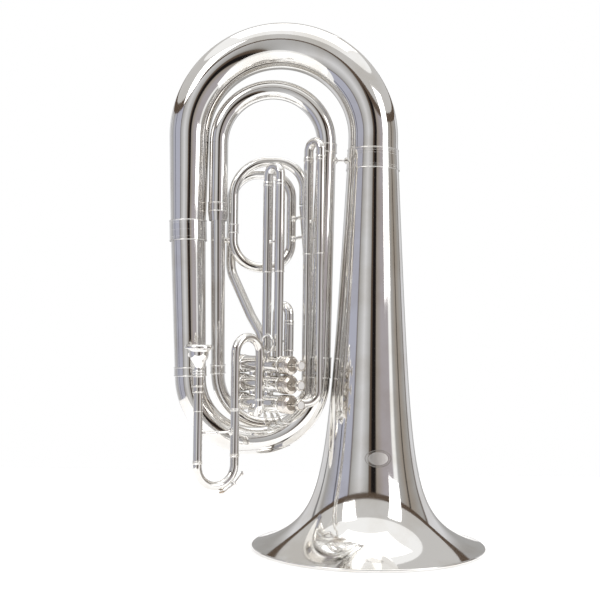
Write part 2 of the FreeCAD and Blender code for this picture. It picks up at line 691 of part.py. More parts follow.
def slide_legs(number):
    """Where a slide's two upright legs stand, and how its tubes reach them from the casing."""
    station = slide_stations[number]
    legs = []
    for side in (-1, 1):
        axis_point = on_valve(number, station + side * spacing)
        if number == 1:
            route, bends = [axis_point], []
            foot = axis_point
        elif number == 2:
            foot = on_valve(2, station + side * spacing, second_back)
            route, bends = [axis_point, foot], [size("second_slide_bend")]
        else:
            foot = third_centre + VALVE_AXIS * (side * spacing)
            foot.z = axis_point.z
            route, bends = [axis_point, foot], [size("third_slide_bend")]
        legs.append((route, bends, foot))
    return legs


slide_words = {1: "first", 2: "second", 3: "third"}
half_room = 10
for number, word in slide_words.items():
    name = f"slide_{number}"
    crook_axis = size(f"{word}_slide_top - crook_radius")
    collar = crook_axis - spacing - size("slide_neck")
    sleeve_foot = collar - size(f"{word}_slide_sleeve")
    tubes, feet = [], []
    for route, bends, foot in slide_legs(number):
        joint = Vector(foot.x, foot.y, sleeve_foot)
        path = bent_path(route + [joint], bends)
        tube = pipe(name + "_tube", path, "slide_tube_radius", wall="small_wall")
        tubes.append(to_block(tube, name + "_joint"))
        tubes.append(sleeve(name + "_sleeve", joint, UP, "slide_leg_radius + slide_fit",
                            f"{word}_slide_sleeve", "sleeve_radius - slide_leg_radius"))
        feet.append(Vector(foot.x, foot.y, collar + size("slide_stop_gap")))
    rung_height = UP * (sleeve_foot + size(f"{word}_slide_sleeve * rung_share"))
    level_feet = [Vector(foot.x, foot.y, 0) + rung_height for foot in feet]
    rung = stay(name + "_rung", *level_feet)
    holes = [cylinder(name + "_rung_end", foot - UP * half_room, UP,
                      "sleeve_radius + solder_gap", f"2 * {half_room}")
             for foot in level_feet]
    tubes.append(cut(rung, fuse(holes, name + "_rung_ends"), name + "_crossbar"))
    node(group(tubes, name + "_fixed"), f"valve_slide_sleeves_{number}")

    rise = UP * (crook_axis - feet[0].z)
    sink = UP * size(f"{word}_slide_legs")
    whole = u_path(feet[0] - sink, feet[1] - sink, rise + sink)
    short = u_path(feet[0], feet[1], rise)
    solids = [swept(name + "_legs", whole, "slide_leg_radius", "slide_leg_radius"),
              swept(name + "_crook", short, "crook_radius", "crook_radius")]
    solids += [cylinder(name + "_collar", foot, UP, "sleeve_radius + bead_radius / 2",
                        "slide_collar_height") for foot in feet]
    inside = swept(name + "_inside", whole, "slide_leg_radius", "slide_leg_radius",
                   offset=" - slide_wall")
    node(cut(fuse(solids, name + "_solids"), inside, name), f"valve_slide_{number}")

# ---- mouthpiece ----

mouth = at(size("mouthpiece_reach"), -size("mouthpiece_depth"), 0)
rim_top, throat_height = size("mouthpiece_top"), size("mouthpiece_top - cup_depth")
shank_end = throat_height - size("shank_length")
rim_radius, cup_bore = size("mouthpiece_rim_radius"), size("cup_bore_radius")
rim_round = (rim_radius - cup_bore) / 2
mouthpiece_outside = [
    (size("shank_end_radius"), shank_end),
    (size("shank_top_radius"), size("receiver_top")),
    (size("mouthpiece_throat_outer"), throat_height),
    (size("cup_outer_radius") * 0.62, throat_height + 7),
    (size("cup_outer_radius") * 0.9, throat_height + 15),
    (size("cup_outer_radius"), rim_top - 10),
    (size("cup_outer_radius") + 1.2, rim_top - 7.5),
    (rim_radius, rim_top - 5.5),
]
mouthpiece_inside = [
    (cup_bore, rim_top - 4),
    (cup_bore * 0.86, rim_top - 14),
    (cup_bore * 0.55, throat_height + 10),
    (size("throat_radius"), throat_height),
    (size("shank_end_radius") - 1, shank_end),
]


def mouthpiece_profile():
    """Cup, throat and shank in section, with a rounded rim on top."""
    def corner(place):
        return Vector(place[0], 0, place[1])
    outer = [corner(place) for place in mouthpiece_outside]
    inner = [corner(place) for place in mouthpiece_inside]
    edges = [Part.LineSegment(a, b).toShape() for a, b in zip(outer[:2], outer[1:3])]
    cup_curve = Part.BSplineCurve()
    cup_curve.interpolate(outer[2:6])
    edges.append(cup_curve.toShape())
    edges += [Part.LineSegment(a, b).toShape() for a, b in zip(outer[5:], outer[6:])]
    crest = Vector(rim_radius - rim_round, 0, rim_top)
    edges.append(Part.Arc(outer[-1], Vector(rim_radius - 0.6, 0, rim_top - 2.2), crest).toShape())
    edges.append(Part.Arc(crest, Vector(cup_bore + 0.7, 0, rim_top - 1.6), inner[0]).toShape())
    bowl = Part.BSplineCurve()
    bowl.interpolate(inner[:4])
    edges.append(bowl.toShape())
    edges.append(Part.LineSegment(inner[3], inner[4]).toShape())
    edges.append(Part.LineSegment(inner[4], outer[0]).toShape())
    return edges


node(turned("mouthpiece", mouthpiece_profile(), Placement(mouth, Rotation())), "mouthpiece")

# ---- mouthpiece receiver, leadpipe and tuning slide ----

receiver_foot = mouth + UP * size("receiver_top - receiver_length")
shank_slope = size("shank_top_radius - shank_end_radius") / (size("receiver_top") - shank_end)
receiver_bores = [size("shank_top_radius + shank_fit") - shank_slope * size("receiver_length"),
                  size("shank_top_radius + shank_fit")]
receiver_bands = [size("receiver_length") * share for share in (0.06, 0.3, 0.72, 0.83, 0.94)]
receiver_edges = banded_profile(receiver_bores, [size("receiver_radius")] * 2,
                                size("receiver_length"), receiver_bands, size("receiver_bead"))
node(turned("receiver", receiver_edges, Placement(receiver_foot, Rotation())),
     "mouthpiece_receiver")

leadpipe_foot = receiver_foot - UP * size("leadpipe_length")
node(pipe("leadpipe", bent_path([receiver_foot, leadpipe_foot]), "leadpipe_radius",
          wall="leadpipe_wall"), "leadpipe")

left_sleeve_foot = mouth + UP * size("tuning_left_foot")
right_axis = at(size("tuning_right_reach"), -size("tuning_right_depth"), 0)
right_sleeve_foot = right_axis + UP * size("tuning_right_foot")
left_sleeve_length = leadpipe_foot.z - left_sleeve_foot.z
right_sleeve_length = size("tuning_right_top - tuning_right_foot")
tuning_sleeves = []
for name, foot, length in (("left", left_sleeve_foot, left_sleeve_length),
                           ("right", right_sleeve_foot, right_sleeve_length)):
    tuning_sleeves.append(sleeve(f"tuning_sleeve_{name}", foot, UP,
                                 "tuning_leg_radius + slide_fit", f"{length:.4f}",
                                 "tuning_sleeve_radius - tuning_leg_radius"))
node(group(tuning_sleeves, "tuning_sleeves"), "tuning_slide_sleeves")

crook_left = right_axis + UP * size("tuning_right_top")
crook_right_axis = at(size("crook_right_reach"), -size("crook_right_depth"), 0)
crook_rise = size("crook_top - leadpipe_crook_radius")
elbow_start = crook_right_axis + UP * size("elbow_height + elbow_rise")
crook_bend = (crook_right_axis - right_axis).Length / 2
crook_path = bent_path(
    [crook_left, right_axis + UP * crook_rise, crook_right_axis + UP * crook_rise, elbow_start],
    [crook_bend, crook_bend],
)
node(pipe("leadpipe_crook", crook_path, "leadpipe_crook_radius - crook_taper",
          "leadpipe_crook_radius", "leadpipe_wall"), "leadpipe_crook")
elbow_corner = crook_right_axis + UP * size("elbow_height")
elbow_turn = elbow_corner + Vector(-size("elbow_left"), size("elbow_back"), 0)
elbow = pipe("elbow", bent_path([elbow_start, elbow_corner, elbow_turn, elbow_mouth],
                                [size("elbow_bend"), size("elbow_bend")]),
             "leadpipe_crook_radius", wall="leadpipe_wall")
node(to_block(elbow, "elbow_joint"), "leadpipe_elbow")
elbow_ring = sleeve("elbow_ring", elbow_start - UP * (size("elbow_bend") / 2), UP,
                    "leadpipe_crook_radius + ferrule_gap", "ring_length", "ring_wall")
crook_ring = sleeve("crook_ring", crook_left, UP, "leadpipe_crook_radius + ferrule_gap",
                    "ring_length", "ring_wall")

# The tuning slide's bow hangs below the sleeves, in an upright plane of its own.
bow_left = mouth + UP * size("tuning_bow_height")
bow_right = right_axis + UP * size("tuning_bow_height")
bow_centre = (bow_left + bow_right) * 0.5
bow_bend = (bow_left - bow_right).Length / 2
bow_across = (bow_right - bow_left).normalize()
bow_normal = bow_across.cross(UP)
left_stop = left_sleeve_foot - UP * size("slide_stop_gap")
right_stop = right_sleeve_foot - UP * size("slide_stop_gap")


def hanging_path(first, second):
    """Down from the first point, round the bow and up to the second."""
    low = bow_centre.z - bow_bend
    return bent_path([first, Vector(first.x, first.y, low), Vector(second.x, second.y, low),
                      second], [bow_bend, bow_bend])


legs = UP * size("tuning_legs")
inner_path = hanging_path(left_stop + legs, right_stop + legs)
bow_path = hanging_path(left_stop, right_stop)


def by_bow(angle_name, distance, aside=0):
    """A point outside the hanging bow, by its angle below the right leg."""
    angle = math.radians(size(angle_name))
    outward = bow_across * math.cos(angle) - UP * math.sin(angle)
    return bow_centre + outward * (bow_bend + distance) + bow_normal * aside


seat_outward = (by_bow("key_seat_angle", 1) - by_bow("key_seat_angle", 0)).normalize()
nipple_top = size("tuning_bow_radius + nipple_height")
pivot_distance = size("tuning_bow_radius + key_pivot_height")
pivot = by_bow("key_pivot_angle", pivot_distance)
half_barrel = size("key_barrel_length / 2")
post_shift = half_barrel + size("key_gap + key_post_radius")
slide_solids = [
    swept("tuning_legs", inner_path, "tuning_leg_radius", "tuning_leg_radius"),
    swept("tuning_bow", bow_path, "tuning_bow_radius", "tuning_bow_radius"),
    cylinder("nipple", by_bow("key_seat_angle", 0), seat_outward, "nipple_radius",
             "tuning_bow_radius + nipple_height"),
    cylinder("key_pin", pivot - bow_normal * (post_shift + size("key_post_radius")), bow_normal,
             "key_pin_radius", "key_barrel_length + 2 * key_gap + 4 * key_post_radius"),
]
for foot in (left_stop, right_stop):
    slide_solids.append(cylinder("tuning_collar", foot - UP * size("ring_length"), UP,
                                 "tuning_bow_radius + ring_wall", "ring_length"))
for side in (-1, 1):
    slide_solids.append(stay("key_post", by_bow("key_pivot_angle", 0, side * post_shift),
                             by_bow("key_pivot_angle", pivot_distance, side * post_shift),
                             "key_post_radius"))
slide_bore = swept("tuning_bore", inner_path, "tuning_leg_radius", "tuning_leg_radius",
                   offset=" - slide_wall")
drain = cylinder("drain", by_bow("key_seat_angle", 0), seat_outward, "nipple_radius / 2",
                 "tuning_bow_radius + nipple_height + 1")
node(cut(fuse(slide_solids, "tuning_solids"), fuse([slide_bore, drain], "tuning_cuts"),
         "tuning_slide"), "main_tuning_slide")

# ---- water key ----

cork_foot = by_bow("key_seat_angle", nipple_top + size("key_fit"))
cork = cylinder("cork", cork_foot, seat_outward, "cork_radius", "cork_thickness")
node(cork, "water_key_cork")
cup_top = by_bow("key_seat_angle", nipple_top + size("key_fit + cork_thickness"))
cup_rim = by_bow("key_seat_angle", nipple_top + size("key_fit + cork_thickness / 2"))
cup = cut(cylinder("cork_cup", cup_rim, seat_outward, "cork_radius + key_fit + key_cup_wall",
                   "cork_thickness / 2 + key_cup_wall"),
          cylinder("cork_socket", cup_rim, seat_outward, "cork_radius + key_fit",
                   "cork_thickness / 2"), "cork_holder")
barrel = cylinder("key_barrel", pivot - bow_normal * half_barrel, bow_normal,
                  "key_barrel_radius", "key_barrel_length")
barrel_bore = cylinder("key_bore", pivot - bow_normal * half_barrel, bow_normal,
                       "key_pin_radius + key_fit", "key_barrel_length")
touch_way = (by_bow("key_pivot_angle", 0) - by_bow("key_seat_angle", 0)).normalize()
touch_end = pivot + (touch_way + UP * 0.5).normalize() * size("key_touch_length")
arm = stay("key_arm", cup_top + seat_outward * size("key_arm_radius"), pivot, "key_arm_radius")
cork_room = cylinder("cork_room", cork_foot, seat_outward, "cork_radius + key_fit",
                     "cork_thickness")
touch_arm = stay("key_touch_arm", pivot, touch_end, "key_arm_radius")
touch_face = (touch_end - bow_centre - UP * (touch_end - bow_centre).z).normalize()
touch_pad = cylinder("key_touch_pad", touch_end, touch_face, "key_touch_radius",
                     "key_touch_thickness")
lever = cut(fuse([cup, arm, barrel, touch_arm, touch_pad], "key_solids"),
            fuse([barrel_bore, cork_room], "key_cuts"), "key")
node(lever, "water_key_lever")
spring_start = pivot - bow_normal * (half_barrel - size("key_spring_inset"))
node(coil_spring("key_spring", spring_start, bow_normal, "key_barrel_radius + key_spring_gap",
                 "key_spring_wire", "key_spring_turns", "key_spring_length"),
     "water_key_spring")

# ---- thumb ring, rings and stays ----

ring_front = -size("sleeve_radius + thumb_ring_wire + thumb_ring_gap")
ring_station = size("thumb_ring_station") - ring_front
ring_rise = size("casing_radius + thumb_ring_bore + 2 * thumb_ring_wire + thumb_post_height")
ring_centre = on_valve(1, ring_station, ring_front, ring_rise)
ring_foot = on_valve(1, ring_station, ring_front)
ring = torus("thumb_torus", ring_centre, VALVE_BACK, "thumb_ring_bore + thumb_ring_wire",
             "thumb_ring_wire")
ring_post = cylinder("thumb_post", ring_foot, UP, "thumb_ring_wire",
                     "casing_radius + thumb_post_height + thumb_ring_wire")
node(to_block(fuse([ring, ring_post], "thumb_ring_solid"), "thumb_ring_body"), "thumb_ring")


clear_reach = 30


def brace(name, first, second):
    """A stay with a round flange on each of two tubes: each is a point, an axis and a radius."""
    way = (second[0] - first[0]).normalize()
    solids = [stay(name + "_rod", first[0], second[0])]
    clear = []
    for (point, axis, radius), heading in ((first, way), (second, way * -1)):
        slant = way.cross(Vector(axis).normalize()).Length
        solids.append(cylinder(name + "_flange", point, heading, "stay_foot_radius",
                               f"({radius}) / {slant:.4f} + stay_foot_thickness"))
        start = point - Vector(axis).normalize() * clear_reach
        clear.append(cylinder(name + "_tube", start, axis, f"{radius} + solder_gap",
                              f"2 * {clear_reach}"))
    return cut(fuse(solids, name + "_solid"), fuse(clear, name + "_clear"), name)


def along(first, last, height):
    """The point at a height on the line between two points."""
    share = (height - first.z) / (last.z - first.z)
    return first + (last - first) * share


def tapered(first_radius, last_radius, first, last, height, spare=0.12):
    """A tapered tube's radius at a height, with a little to spare, as an expression."""
    share = (height - first.z) / (last.z - first.z)
    radius = size(first_radius) + (size(last_radius) - size(first_radius)) * share
    return f"{radius + spare:.3f}"


stay_height = size("bell_stay_height")
bell_side = bell_radius(stay_height - size("bell_stay_drop")) + size("bell_stay_ease")
right_line = ("bottom_bow_right_radius", "right_branch_top_radius", right_foot, right_top)
node(brace("bell_stay", (along(right_foot, right_top, stay_height), UP,
                         tapered(*right_line, stay_height)),
           (at(0, 0, stay_height), UP, f"{bell_side:.3f}")), "bell_brace")

slide_stays = []
third_left = third_centre - VALVE_AXIS * spacing
for place, height in (("high", size("slide_stay_high")), ("low", size("slide_stay_low"))):
    coil_side = at(right, depth + pitch, height)
    third_side = Vector(third_left.x, third_left.y, height)
    slide_stays.append(brace(f"slide_stay_{place}", (coil_side, UP, "coil_radius"),
                             (third_side, UP, "sleeve_radius")))
node(group(slide_stays, "slide_stays"), "slide_braces")

brace_height = size("tuning_right_foot + sleeve_stay_rise")
body_height = size("body_stay_height")
left_line = ("left_joint_radius", "bottom_bow_left_radius", left_joint, left_foot)
casing_station = size("crook_right_depth - valve_depth") \
    * math.sin(math.radians(size("valve_turn"))) - size("casing_stay_shift")
leadpipe_stays = [
    brace("sleeve_stay", (mouth + UP * brace_height, UP, "tuning_sleeve_radius"),
          (right_axis + UP * brace_height, UP, "tuning_sleeve_radius")),
    brace("body_stay", (leadpipe_foot + UP * size("body_stay_rise"), UP, "leadpipe_radius"),
          (along(left_joint, left_foot, body_height), left_joint - left_foot,
           tapered(*left_line, body_height))),
    brace("casing_stay", (crook_right_axis + UP * on_valve(2, 0).z, UP,
                          "leadpipe_crook_radius"),
          (on_valve(2, casing_station), VALVE_AXIS, "casing_radius")),
]
node(group(leadpipe_stays, "leadpipe_stays"), "leadpipe_braces")


def on_inner_bow(share):
    """A point on the inner bottom bow's axis and its heading there, share 0 to 1 across."""
    centre = (inner_left_foot + inner_right_foot) * 0.5
    across = (inner_right_foot - inner_left_foot).normalize()
    angle = math.pi * share
    point = centre - across * (inner_bottom_bend * math.cos(angle)) \
        - UP * (inner_bottom_bend * math.sin(angle))
    return point, across * math.sin(angle) - UP * math.cos(angle)


# each stay's station on valve 3, and the share of the way across the bow where it lands
stay_places = ((0, 0.5), (15, 0.55), (28, 0.59))
valve_stays = []
for place, (station, share) in enumerate(stay_places):
    point, heading = on_inner_bow(share)
    casing_foot = on_valve(3, station, 0, -size("valve_stay_drop"))
    valve_stay = brace(f"valve_stay_{place}",
                       (casing_foot, VALVE_AXIS,
                        "casing_radius - valve_stay_drop + valve_stay_sink"),
                       (point, heading, "inner_bottom_radius + 0.1"))
    valve_stays.append(to_block(valve_stay, f"valve_stay_foot_{place}"))
node(group(valve_stays, "valve_stays"), "valve_braces")

coil_height = size("coil_stay_height")
branch_point = along(reducer, inner_left_foot, coil_height)
branch_radius = tapered("inner_lower_radius", "inner_bottom_radius", reducer, inner_left_foot,
                        coil_height)
node(brace("coil_stay", (branch_point, reducer - inner_left_foot, branch_radius),
           (at(left, depth, coil_height), UP, "coil_radius")), "coil_brace")

rings = [elbow_ring, crook_ring]
rings += [
    sleeve("right_collar", right_top - (right_top - right_foot).normalize()
           * size("small_ferrule_length"), right_top - right_foot,
           "right_branch_top_radius + 6 * ferrule_gap", "small_ferrule_length"),
    sleeve("inner_foot_collar", inner_left_foot, reducer - inner_left_foot,
           "inner_bottom_radius + 2 * ferrule_gap", "small_ferrule_length"),
    sleeve("inner_right_collar", inner_right_foot, coil_start - inner_right_foot,
           "inner_right_radius + 2 * ferrule_gap", "small_ferrule_length"),
    sleeve("coil_collar", at(left, depth, size("coil_collar_height")), UP,
           "coil_radius + ferrule_gap", "small_ferrule_length"),
    sleeve("outlet_collar", outlet_start - UP * size("outlet_collar_drop"), UP,
           "coil_radius + loose_ferrule_gap / 2", "small_ferrule_length"),
]
node(group(rings, "rings"), "tube_ferrules")

# ---- build, check and write ----

doc.recompute()
failed = [feature.Name for feature in doc.Objects
          if "Invalid" in feature.State or "Error" in feature.State]
if failed:
    raise RuntimeError("not built: " + ", ".join(failed))
for feature in nodes:
    if feature.Shape.isNull() or not feature.Shape.isValid() or not feature.Shape.Solids:
        raise RuntimeError(f"{feature.Label} has no valid solid")

os.makedirs("parts", exist_ok=True)
for feature in nodes:
    feature.Shape.exportStep(f"parts/{feature.Label}.step")
    box = feature.Shape.BoundBox
    print(f"{feature.Label:26s} solids {len(feature.Shape.Solids):2d} "
          f"volume {feature.Shape.Volume:10.0f} mm3  "
          f"x {box.XMin:7.1f} {box.XMax:7.1f}  y {box.YMin:7.1f} {box.YMax:7.1f}  "
          f"z {box.ZMin:7.1f} {box.ZMax:7.1f}")
whole = Part.makeCompound([feature.Shape for feature in nodes]).optimalBoundingBox()
print(f"{len(nodes)} nodes, x {whole.XMin:.2f} {whole.XMax:.2f}, y {whole.YMin:.2f} "
      f"{whole.YMax:.2f}, z {whole.ZMin:.2f} {whole.ZMax:.2f}")
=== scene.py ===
import math

import bmesh
import bpy
from mathutils import Matrix, Quaternion, Vector


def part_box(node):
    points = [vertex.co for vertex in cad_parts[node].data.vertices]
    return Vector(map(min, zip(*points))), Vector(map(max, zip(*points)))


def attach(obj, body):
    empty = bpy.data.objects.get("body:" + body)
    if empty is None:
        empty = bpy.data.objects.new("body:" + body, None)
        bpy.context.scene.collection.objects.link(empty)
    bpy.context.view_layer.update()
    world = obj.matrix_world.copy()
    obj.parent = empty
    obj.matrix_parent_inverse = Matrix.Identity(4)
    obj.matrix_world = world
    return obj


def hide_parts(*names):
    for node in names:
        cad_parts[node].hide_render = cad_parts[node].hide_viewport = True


# Looks of a small silver-plated tuba that stands on its bell.  Lengths here are millimetres in
# the model's frame; meshes are scaled to metres when they are made.

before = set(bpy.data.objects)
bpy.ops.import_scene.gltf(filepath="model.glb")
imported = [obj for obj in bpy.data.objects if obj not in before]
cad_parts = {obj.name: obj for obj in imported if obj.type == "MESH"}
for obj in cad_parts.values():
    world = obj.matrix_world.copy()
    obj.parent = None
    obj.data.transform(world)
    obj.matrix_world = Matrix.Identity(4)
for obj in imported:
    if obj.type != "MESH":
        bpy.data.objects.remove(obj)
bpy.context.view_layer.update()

MM = 0.001
UP = Vector((0, 0, 1))

# ---- sizes, the same values as the design's ----

BELL_RIM_RADIUS, BELL_RIM_WIDTH, BELL_RIM_HEIGHT = 190.5, 5.2, 4.6
BELL_HEIGHT, BELL_WALL = 650, 0.7
BELL_CONE_RADIUS, BELL_CONE_SLOPE = 71.7, 0.0492
BELL_FLARE_LENGTH, BELL_FLARE_POWER = 84, 2.334
TOP_BOW_SPAN, TOP_BOW_HEIGHT, TOP_BOW_CROWN_RADIUS = 303, 857, 37.3
LEFT_JOINT_HEIGHT, LEFT_JOINT_RADIUS = 514, 28.4
BOTTOM_BOW_HEIGHT, BOTTOM_BOW_REACH = 275, 296
BOTTOM_BOW_LEFT_RADIUS, BOTTOM_BOW_RIGHT_RADIUS = 25.3, 20.5
RIGHT_BRANCH_GAP, RIGHT_TOP_REACH, RIGHT_TOP_RADIUS = 3.5, 76.5, 15.6
INNER_TOP_HEIGHT, INNER_GAP, INNER_RADIUS = 659, 1.1, 15.3
REDUCER_HEIGHT, INNER_LOWER_RADIUS = 546, 11.9
INNER_BOTTOM_HEIGHT, INNER_BOTTOM_DEPTH, INNER_BOTTOM_RADIUS = 279, 26, 11.2
INNER_RIGHT_RADIUS, INNER_RIGHT_DEPTH = 10, 36.5
TUBE_WALL, SMALL_WALL, JOINT_GAP = 0.7, 0.6, 1.5
COIL_RADIUS, COIL_LEFT, COIL_RIGHT = 8, 230, 135
COIL_START_REACH, COIL_START_HEIGHT, COIL_START_DEPTH = 113, 560, 13
COIL_TOP, COIL_BOTTOM, COIL_DEPTH, COIL_PITCH, COIL_DROP = 631, 456, 11, 18, 18
COIL_SHIFT, COIL_BENDS, COIL_COLLAR_HEIGHT = 5, [46, 58, 46, 42, 40, 44], 512
OUTLET_FALL, OUTLET_KNEE, OUTLET_BENDS = Vector((0, -4, -92)), (32, 2, 78), [60, 60, 30, 9]
OUTLET_BACK, OUTLET_RISE, OUTLET_COLLAR_DROP = 24, 46, 6
FERRULE_WALL, FERRULE_GAP, BEAD, FERRULE_LENGTH, SMALL_FERRULE = 0.9, 0.06, 0.8, 34, 15
GUARD_WALL, GUARD_GAP, GUARD_STEPS = 0.8, 0.1, 24
VALVE_REACH, VALVE_DEPTH, VALVE_TURN, VALVE_TOP, VALVE_PITCH = 172, 40, 45, 297, 30.5
CASING_RADIUS, CASING_WALL, CASING_START, CASING_LENGTH = 13.25, 1.1, -62, 126
CAP_WALL, CAP_SKIRT, CAP_THICKNESS, CAP_FIT = 1.5, 14, 4, 0.06
BUTTON_STATION, BUTTON_RADIUS, BUTTON_THICKNESS = 86.5, 8.6, 5.4
FELT_RADIUS, FELT_THICKNESS, STEM_RADIUS, FELT_FIT, SEAT_GAP = 7.2, 2, 2.4, 0.1, 0.05
KNUCKLE_RADIUS, KNUCKLE_FLARE, KNUCKLE_STATIONS, OUTLET_STATION = 7.2, 1.1, (-24, 14), -33
SLIDE_HALF, SLIDE_LEG, SLIDE_TUBE, SLEEVE, CROOK = 14.5, 6.9, 7.3, 7.9, 7.5
COLLAR_HEIGHT, STOP_GAP, SLIDE_NECK = 5, 0.3, 14
SLIDES = {  # station on the valve, crook top, sleeve length, leg length
    1: (21, 620, 140, 95),
    2: (14, 399, 44, 38),
    3: (18, 663, 152, 105),
}
SECOND_BACK, THIRD_REACH, THIRD_DEPTH = 28, 94, 35
MOUTH_REACH, MOUTH_DEPTH, MOUTH_TOP, CUP_DEPTH = 259.5, 150, 328, 34
MOUTH_RIM, CUP_OUTER, CUP_BORE, THROAT, THROAT_OUTER = 22, 15.2, 16, 4, 6.9
SHANK_LENGTH, SHANK_TOP, SHANK_END = 62, 6.7, 5.5
RECEIVER_TOP, RECEIVER_LENGTH, RECEIVER_RADIUS, RECEIVER_BEAD = 291, 36, 8.3, 1.4
LEADPIPE_RADIUS, LEADPIPE_LENGTH = 7.1, 26
TUNING_SLEEVE, TUNING_LEG, TUNING_BOW, TUNING_LEGS = 6.75, 6, 6.6, 55
TUNING_LEFT_FOOT, TUNING_RIGHT_REACH, TUNING_RIGHT_DEPTH = 152, 208, 115
TUNING_RIGHT_FOOT, TUNING_RIGHT_TOP, TUNING_BOW_HEIGHT = 160, 228, 145
LEAD_CROOK_TOP, LEAD_CROOK_RADIUS, LEAD_CROOK_REACH, LEAD_CROOK_DEPTH = 347, 7.1, 174, 80
ELBOW_HEIGHT, ELBOW_BEND, ELBOW_STATION, ELBOW_RISE = 221, 14, -21, 27
ELBOW_TURN = Vector((-15, 32, 0))
RING_LENGTH, RING_WALL = 3.4, 1
KEY_SEAT_ANGLE, KEY_PIVOT_ANGLE, NIPPLE_HEIGHT, NIPPLE_RADIUS = 76, 44, 3.2, 3
CORK_THICKNESS, CORK_RADIUS, CUP_WALL, PIVOT_HEIGHT = 2.4, 3.6, 0.8, 5.2
BARREL_RADIUS, BARREL_LENGTH, PIN_RADIUS, POST_RADIUS = 2, 8.6, 0.9, 1.4
ARM_RADIUS, TOUCH_LENGTH, KEY_FIT, KEY_GAP = 1.3, 20, 0.05, 0.3
RING_STATION, RING_BORE, RING_WIRE = 11, 11.4, 2.1
RING_SLEEVE, RING_GAP, RING_POST, RING_SINK = 7.85, 1.5, 5, 1.5
STAY_RADIUS, FOOT_RADIUS, FOOT_THICKNESS, STAY_DROP = 2, 5.5, 1.2, 8
FOOT_SINK, FOOT_EDGE, FOOT_FILLET, SHORT_STAY = 1.5, 0.3, 5, 22
STAY_KNOB = ((-2.4, 0), (-1.6, 0.7), (0, 1.1), (1.6, 0.7), (2.4, 0))  # along, proud
BELL_STAY_HEIGHT, SLIDE_STAY_HEIGHTS, COIL_STAY_HEIGHT = 632, (538, 505), 500
SLEEVE_STAY_RISE, BODY_STAY_HEIGHT, BODY_STAY_RISE = 35, 325, 12

bell_low, bell_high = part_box("bell")
BELL_X = (bell_low.x + bell_high.x) / 2 / MM


# ---- places ----

def at(reach, depth, height):
    """A point left of the bell's axis by reach, behind the bell's plane by depth."""
    return Vector((BELL_X - reach, depth, height))


def on_valve(number, station, back=0, rise=0):
    """A point by valve 1 to 3: station runs along the piston to its button."""
    turn = math.radians(VALVE_TURN)
    return at(VALVE_REACH - station * math.cos(turn) - back * math.sin(turn),
              -VALVE_DEPTH - station * math.sin(turn) + back * math.cos(turn),
              VALVE_TOP - (number - 1) * VALVE_PITCH + rise)


def bell_radius(height):
    above = height - BELL_RIM_HEIGHT
    seat = BELL_RIM_RADIUS - BELL_RIM_WIDTH / 2
    fade = (BELL_FLARE_LENGTH / (above + BELL_FLARE_LENGTH)) ** BELL_FLARE_POWER
    return BELL_CONE_RADIUS - BELL_CONE_SLOPE * above + (seat - BELL_CONE_RADIUS) * fade


VALVE_AXIS = (on_valve(1, 1) - on_valve(1, 0)).normalized()
VALVE_BACK = (on_valve(1, 0, 1) - on_valve(1, 0)).normalized()


# ---- materials ----

def new_material(name):
    """A node material, with its tree and its shader."""
    material = bpy.data.materials.new(name)
    material.use_nodes = True
    tree = material.node_tree
    return material, tree, tree.nodes["Principled BSDF"]


def add_node(tree, kind, **inputs):
    """A shader node; each input, From_Min for From Min, is a value or an output to link."""
    node = tree.nodes.new("ShaderNode" + kind)
    for name, value in inputs.items():
        socket = node.inputs[name.replace("_", " ")]
        if isinstance(value, bpy.types.NodeSocket):
            tree.links.new(value, socket)
        else:
            socket.default_value = value
    return node


def maths(tree, operation, first, second):
    """The result of a Math node over two outputs."""
    node = add_node(tree, "Math")
    node.operation = operation
    tree.links.new(first, node.inputs[0])
    tree.links.new(second, node.inputs[1])
    return node.outputs["Value"]


def noise(tree, scale, detail=4, stretch=(1, 1, 1)):
    """Noise in the model's own space, stretched along an axis where asked."""
    place = add_node(tree, "TexCoord").outputs["Object"]
    mapping = add_node(tree, "Mapping", Vector=place, Scale=stretch)
    return add_node(tree, "TexNoise", Vector=mapping.outputs["Vector"], Scale=scale,
                    Detail=detail).outputs["Fac"]


def ramp(tree, value, stops):
    """A colour ramp over a value: stops are (place, colour)."""
    node = tree.nodes.new("ShaderNodeValToRGB")
    elements = node.color_ramp.elements
    while len(elements) < len(stops):
        elements.new(0.5)
    for element, (place, colour) in zip(elements, stops):
        element.position = place
        element.color = (*colour, 1) if len(colour) == 3 else colour
    tree.links.new(value, node.inputs["Fac"])
    return node.outputs["Color"]


def span(tree, value, low, high, start=0.3, end=0.7):
    """A value of start to end moved into low to high."""
    return add_node(tree, "MapRange", Value=value, From_Min=start, From_Max=end,
                    To_Min=low, To_Max=high).outputs["Result"]


def bump(tree, shader, value, strength, distance):
    node = add_node(tree, "Bump", Strength=strength, Distance=distance, Height=value)
    tree.links.new(node.outputs["Normal"], shader.inputs["Normal"])


def plated(name, clean, tarnished, polish, wear, scratch=0.02):
    """Plated metal: a polished face with faint tarnish, buffing marks and a hand-made ripple."""
    material, tree, shader = new_material(name)
    shader.inputs["Metallic"].default_value = 1
    cloud = noise(tree, 16, 6)
    colour = ramp(tree, cloud, [(0.36, tarnished), (0.56, clean)])
    tree.links.new(colour, shader.inputs["Base Color"])
    buffed = noise(tree, 520, 3, (1, 1, 0.04))
    rough = maths(tree, "ADD", span(tree, cloud, wear, 0),
                  span(tree, buffed, polish, polish + scratch))
    tree.links.new(rough, shader.inputs["Roughness"])
    bump(tree, shader, noise(tree, 24, 2), 0.08, 0.0006)
    return material


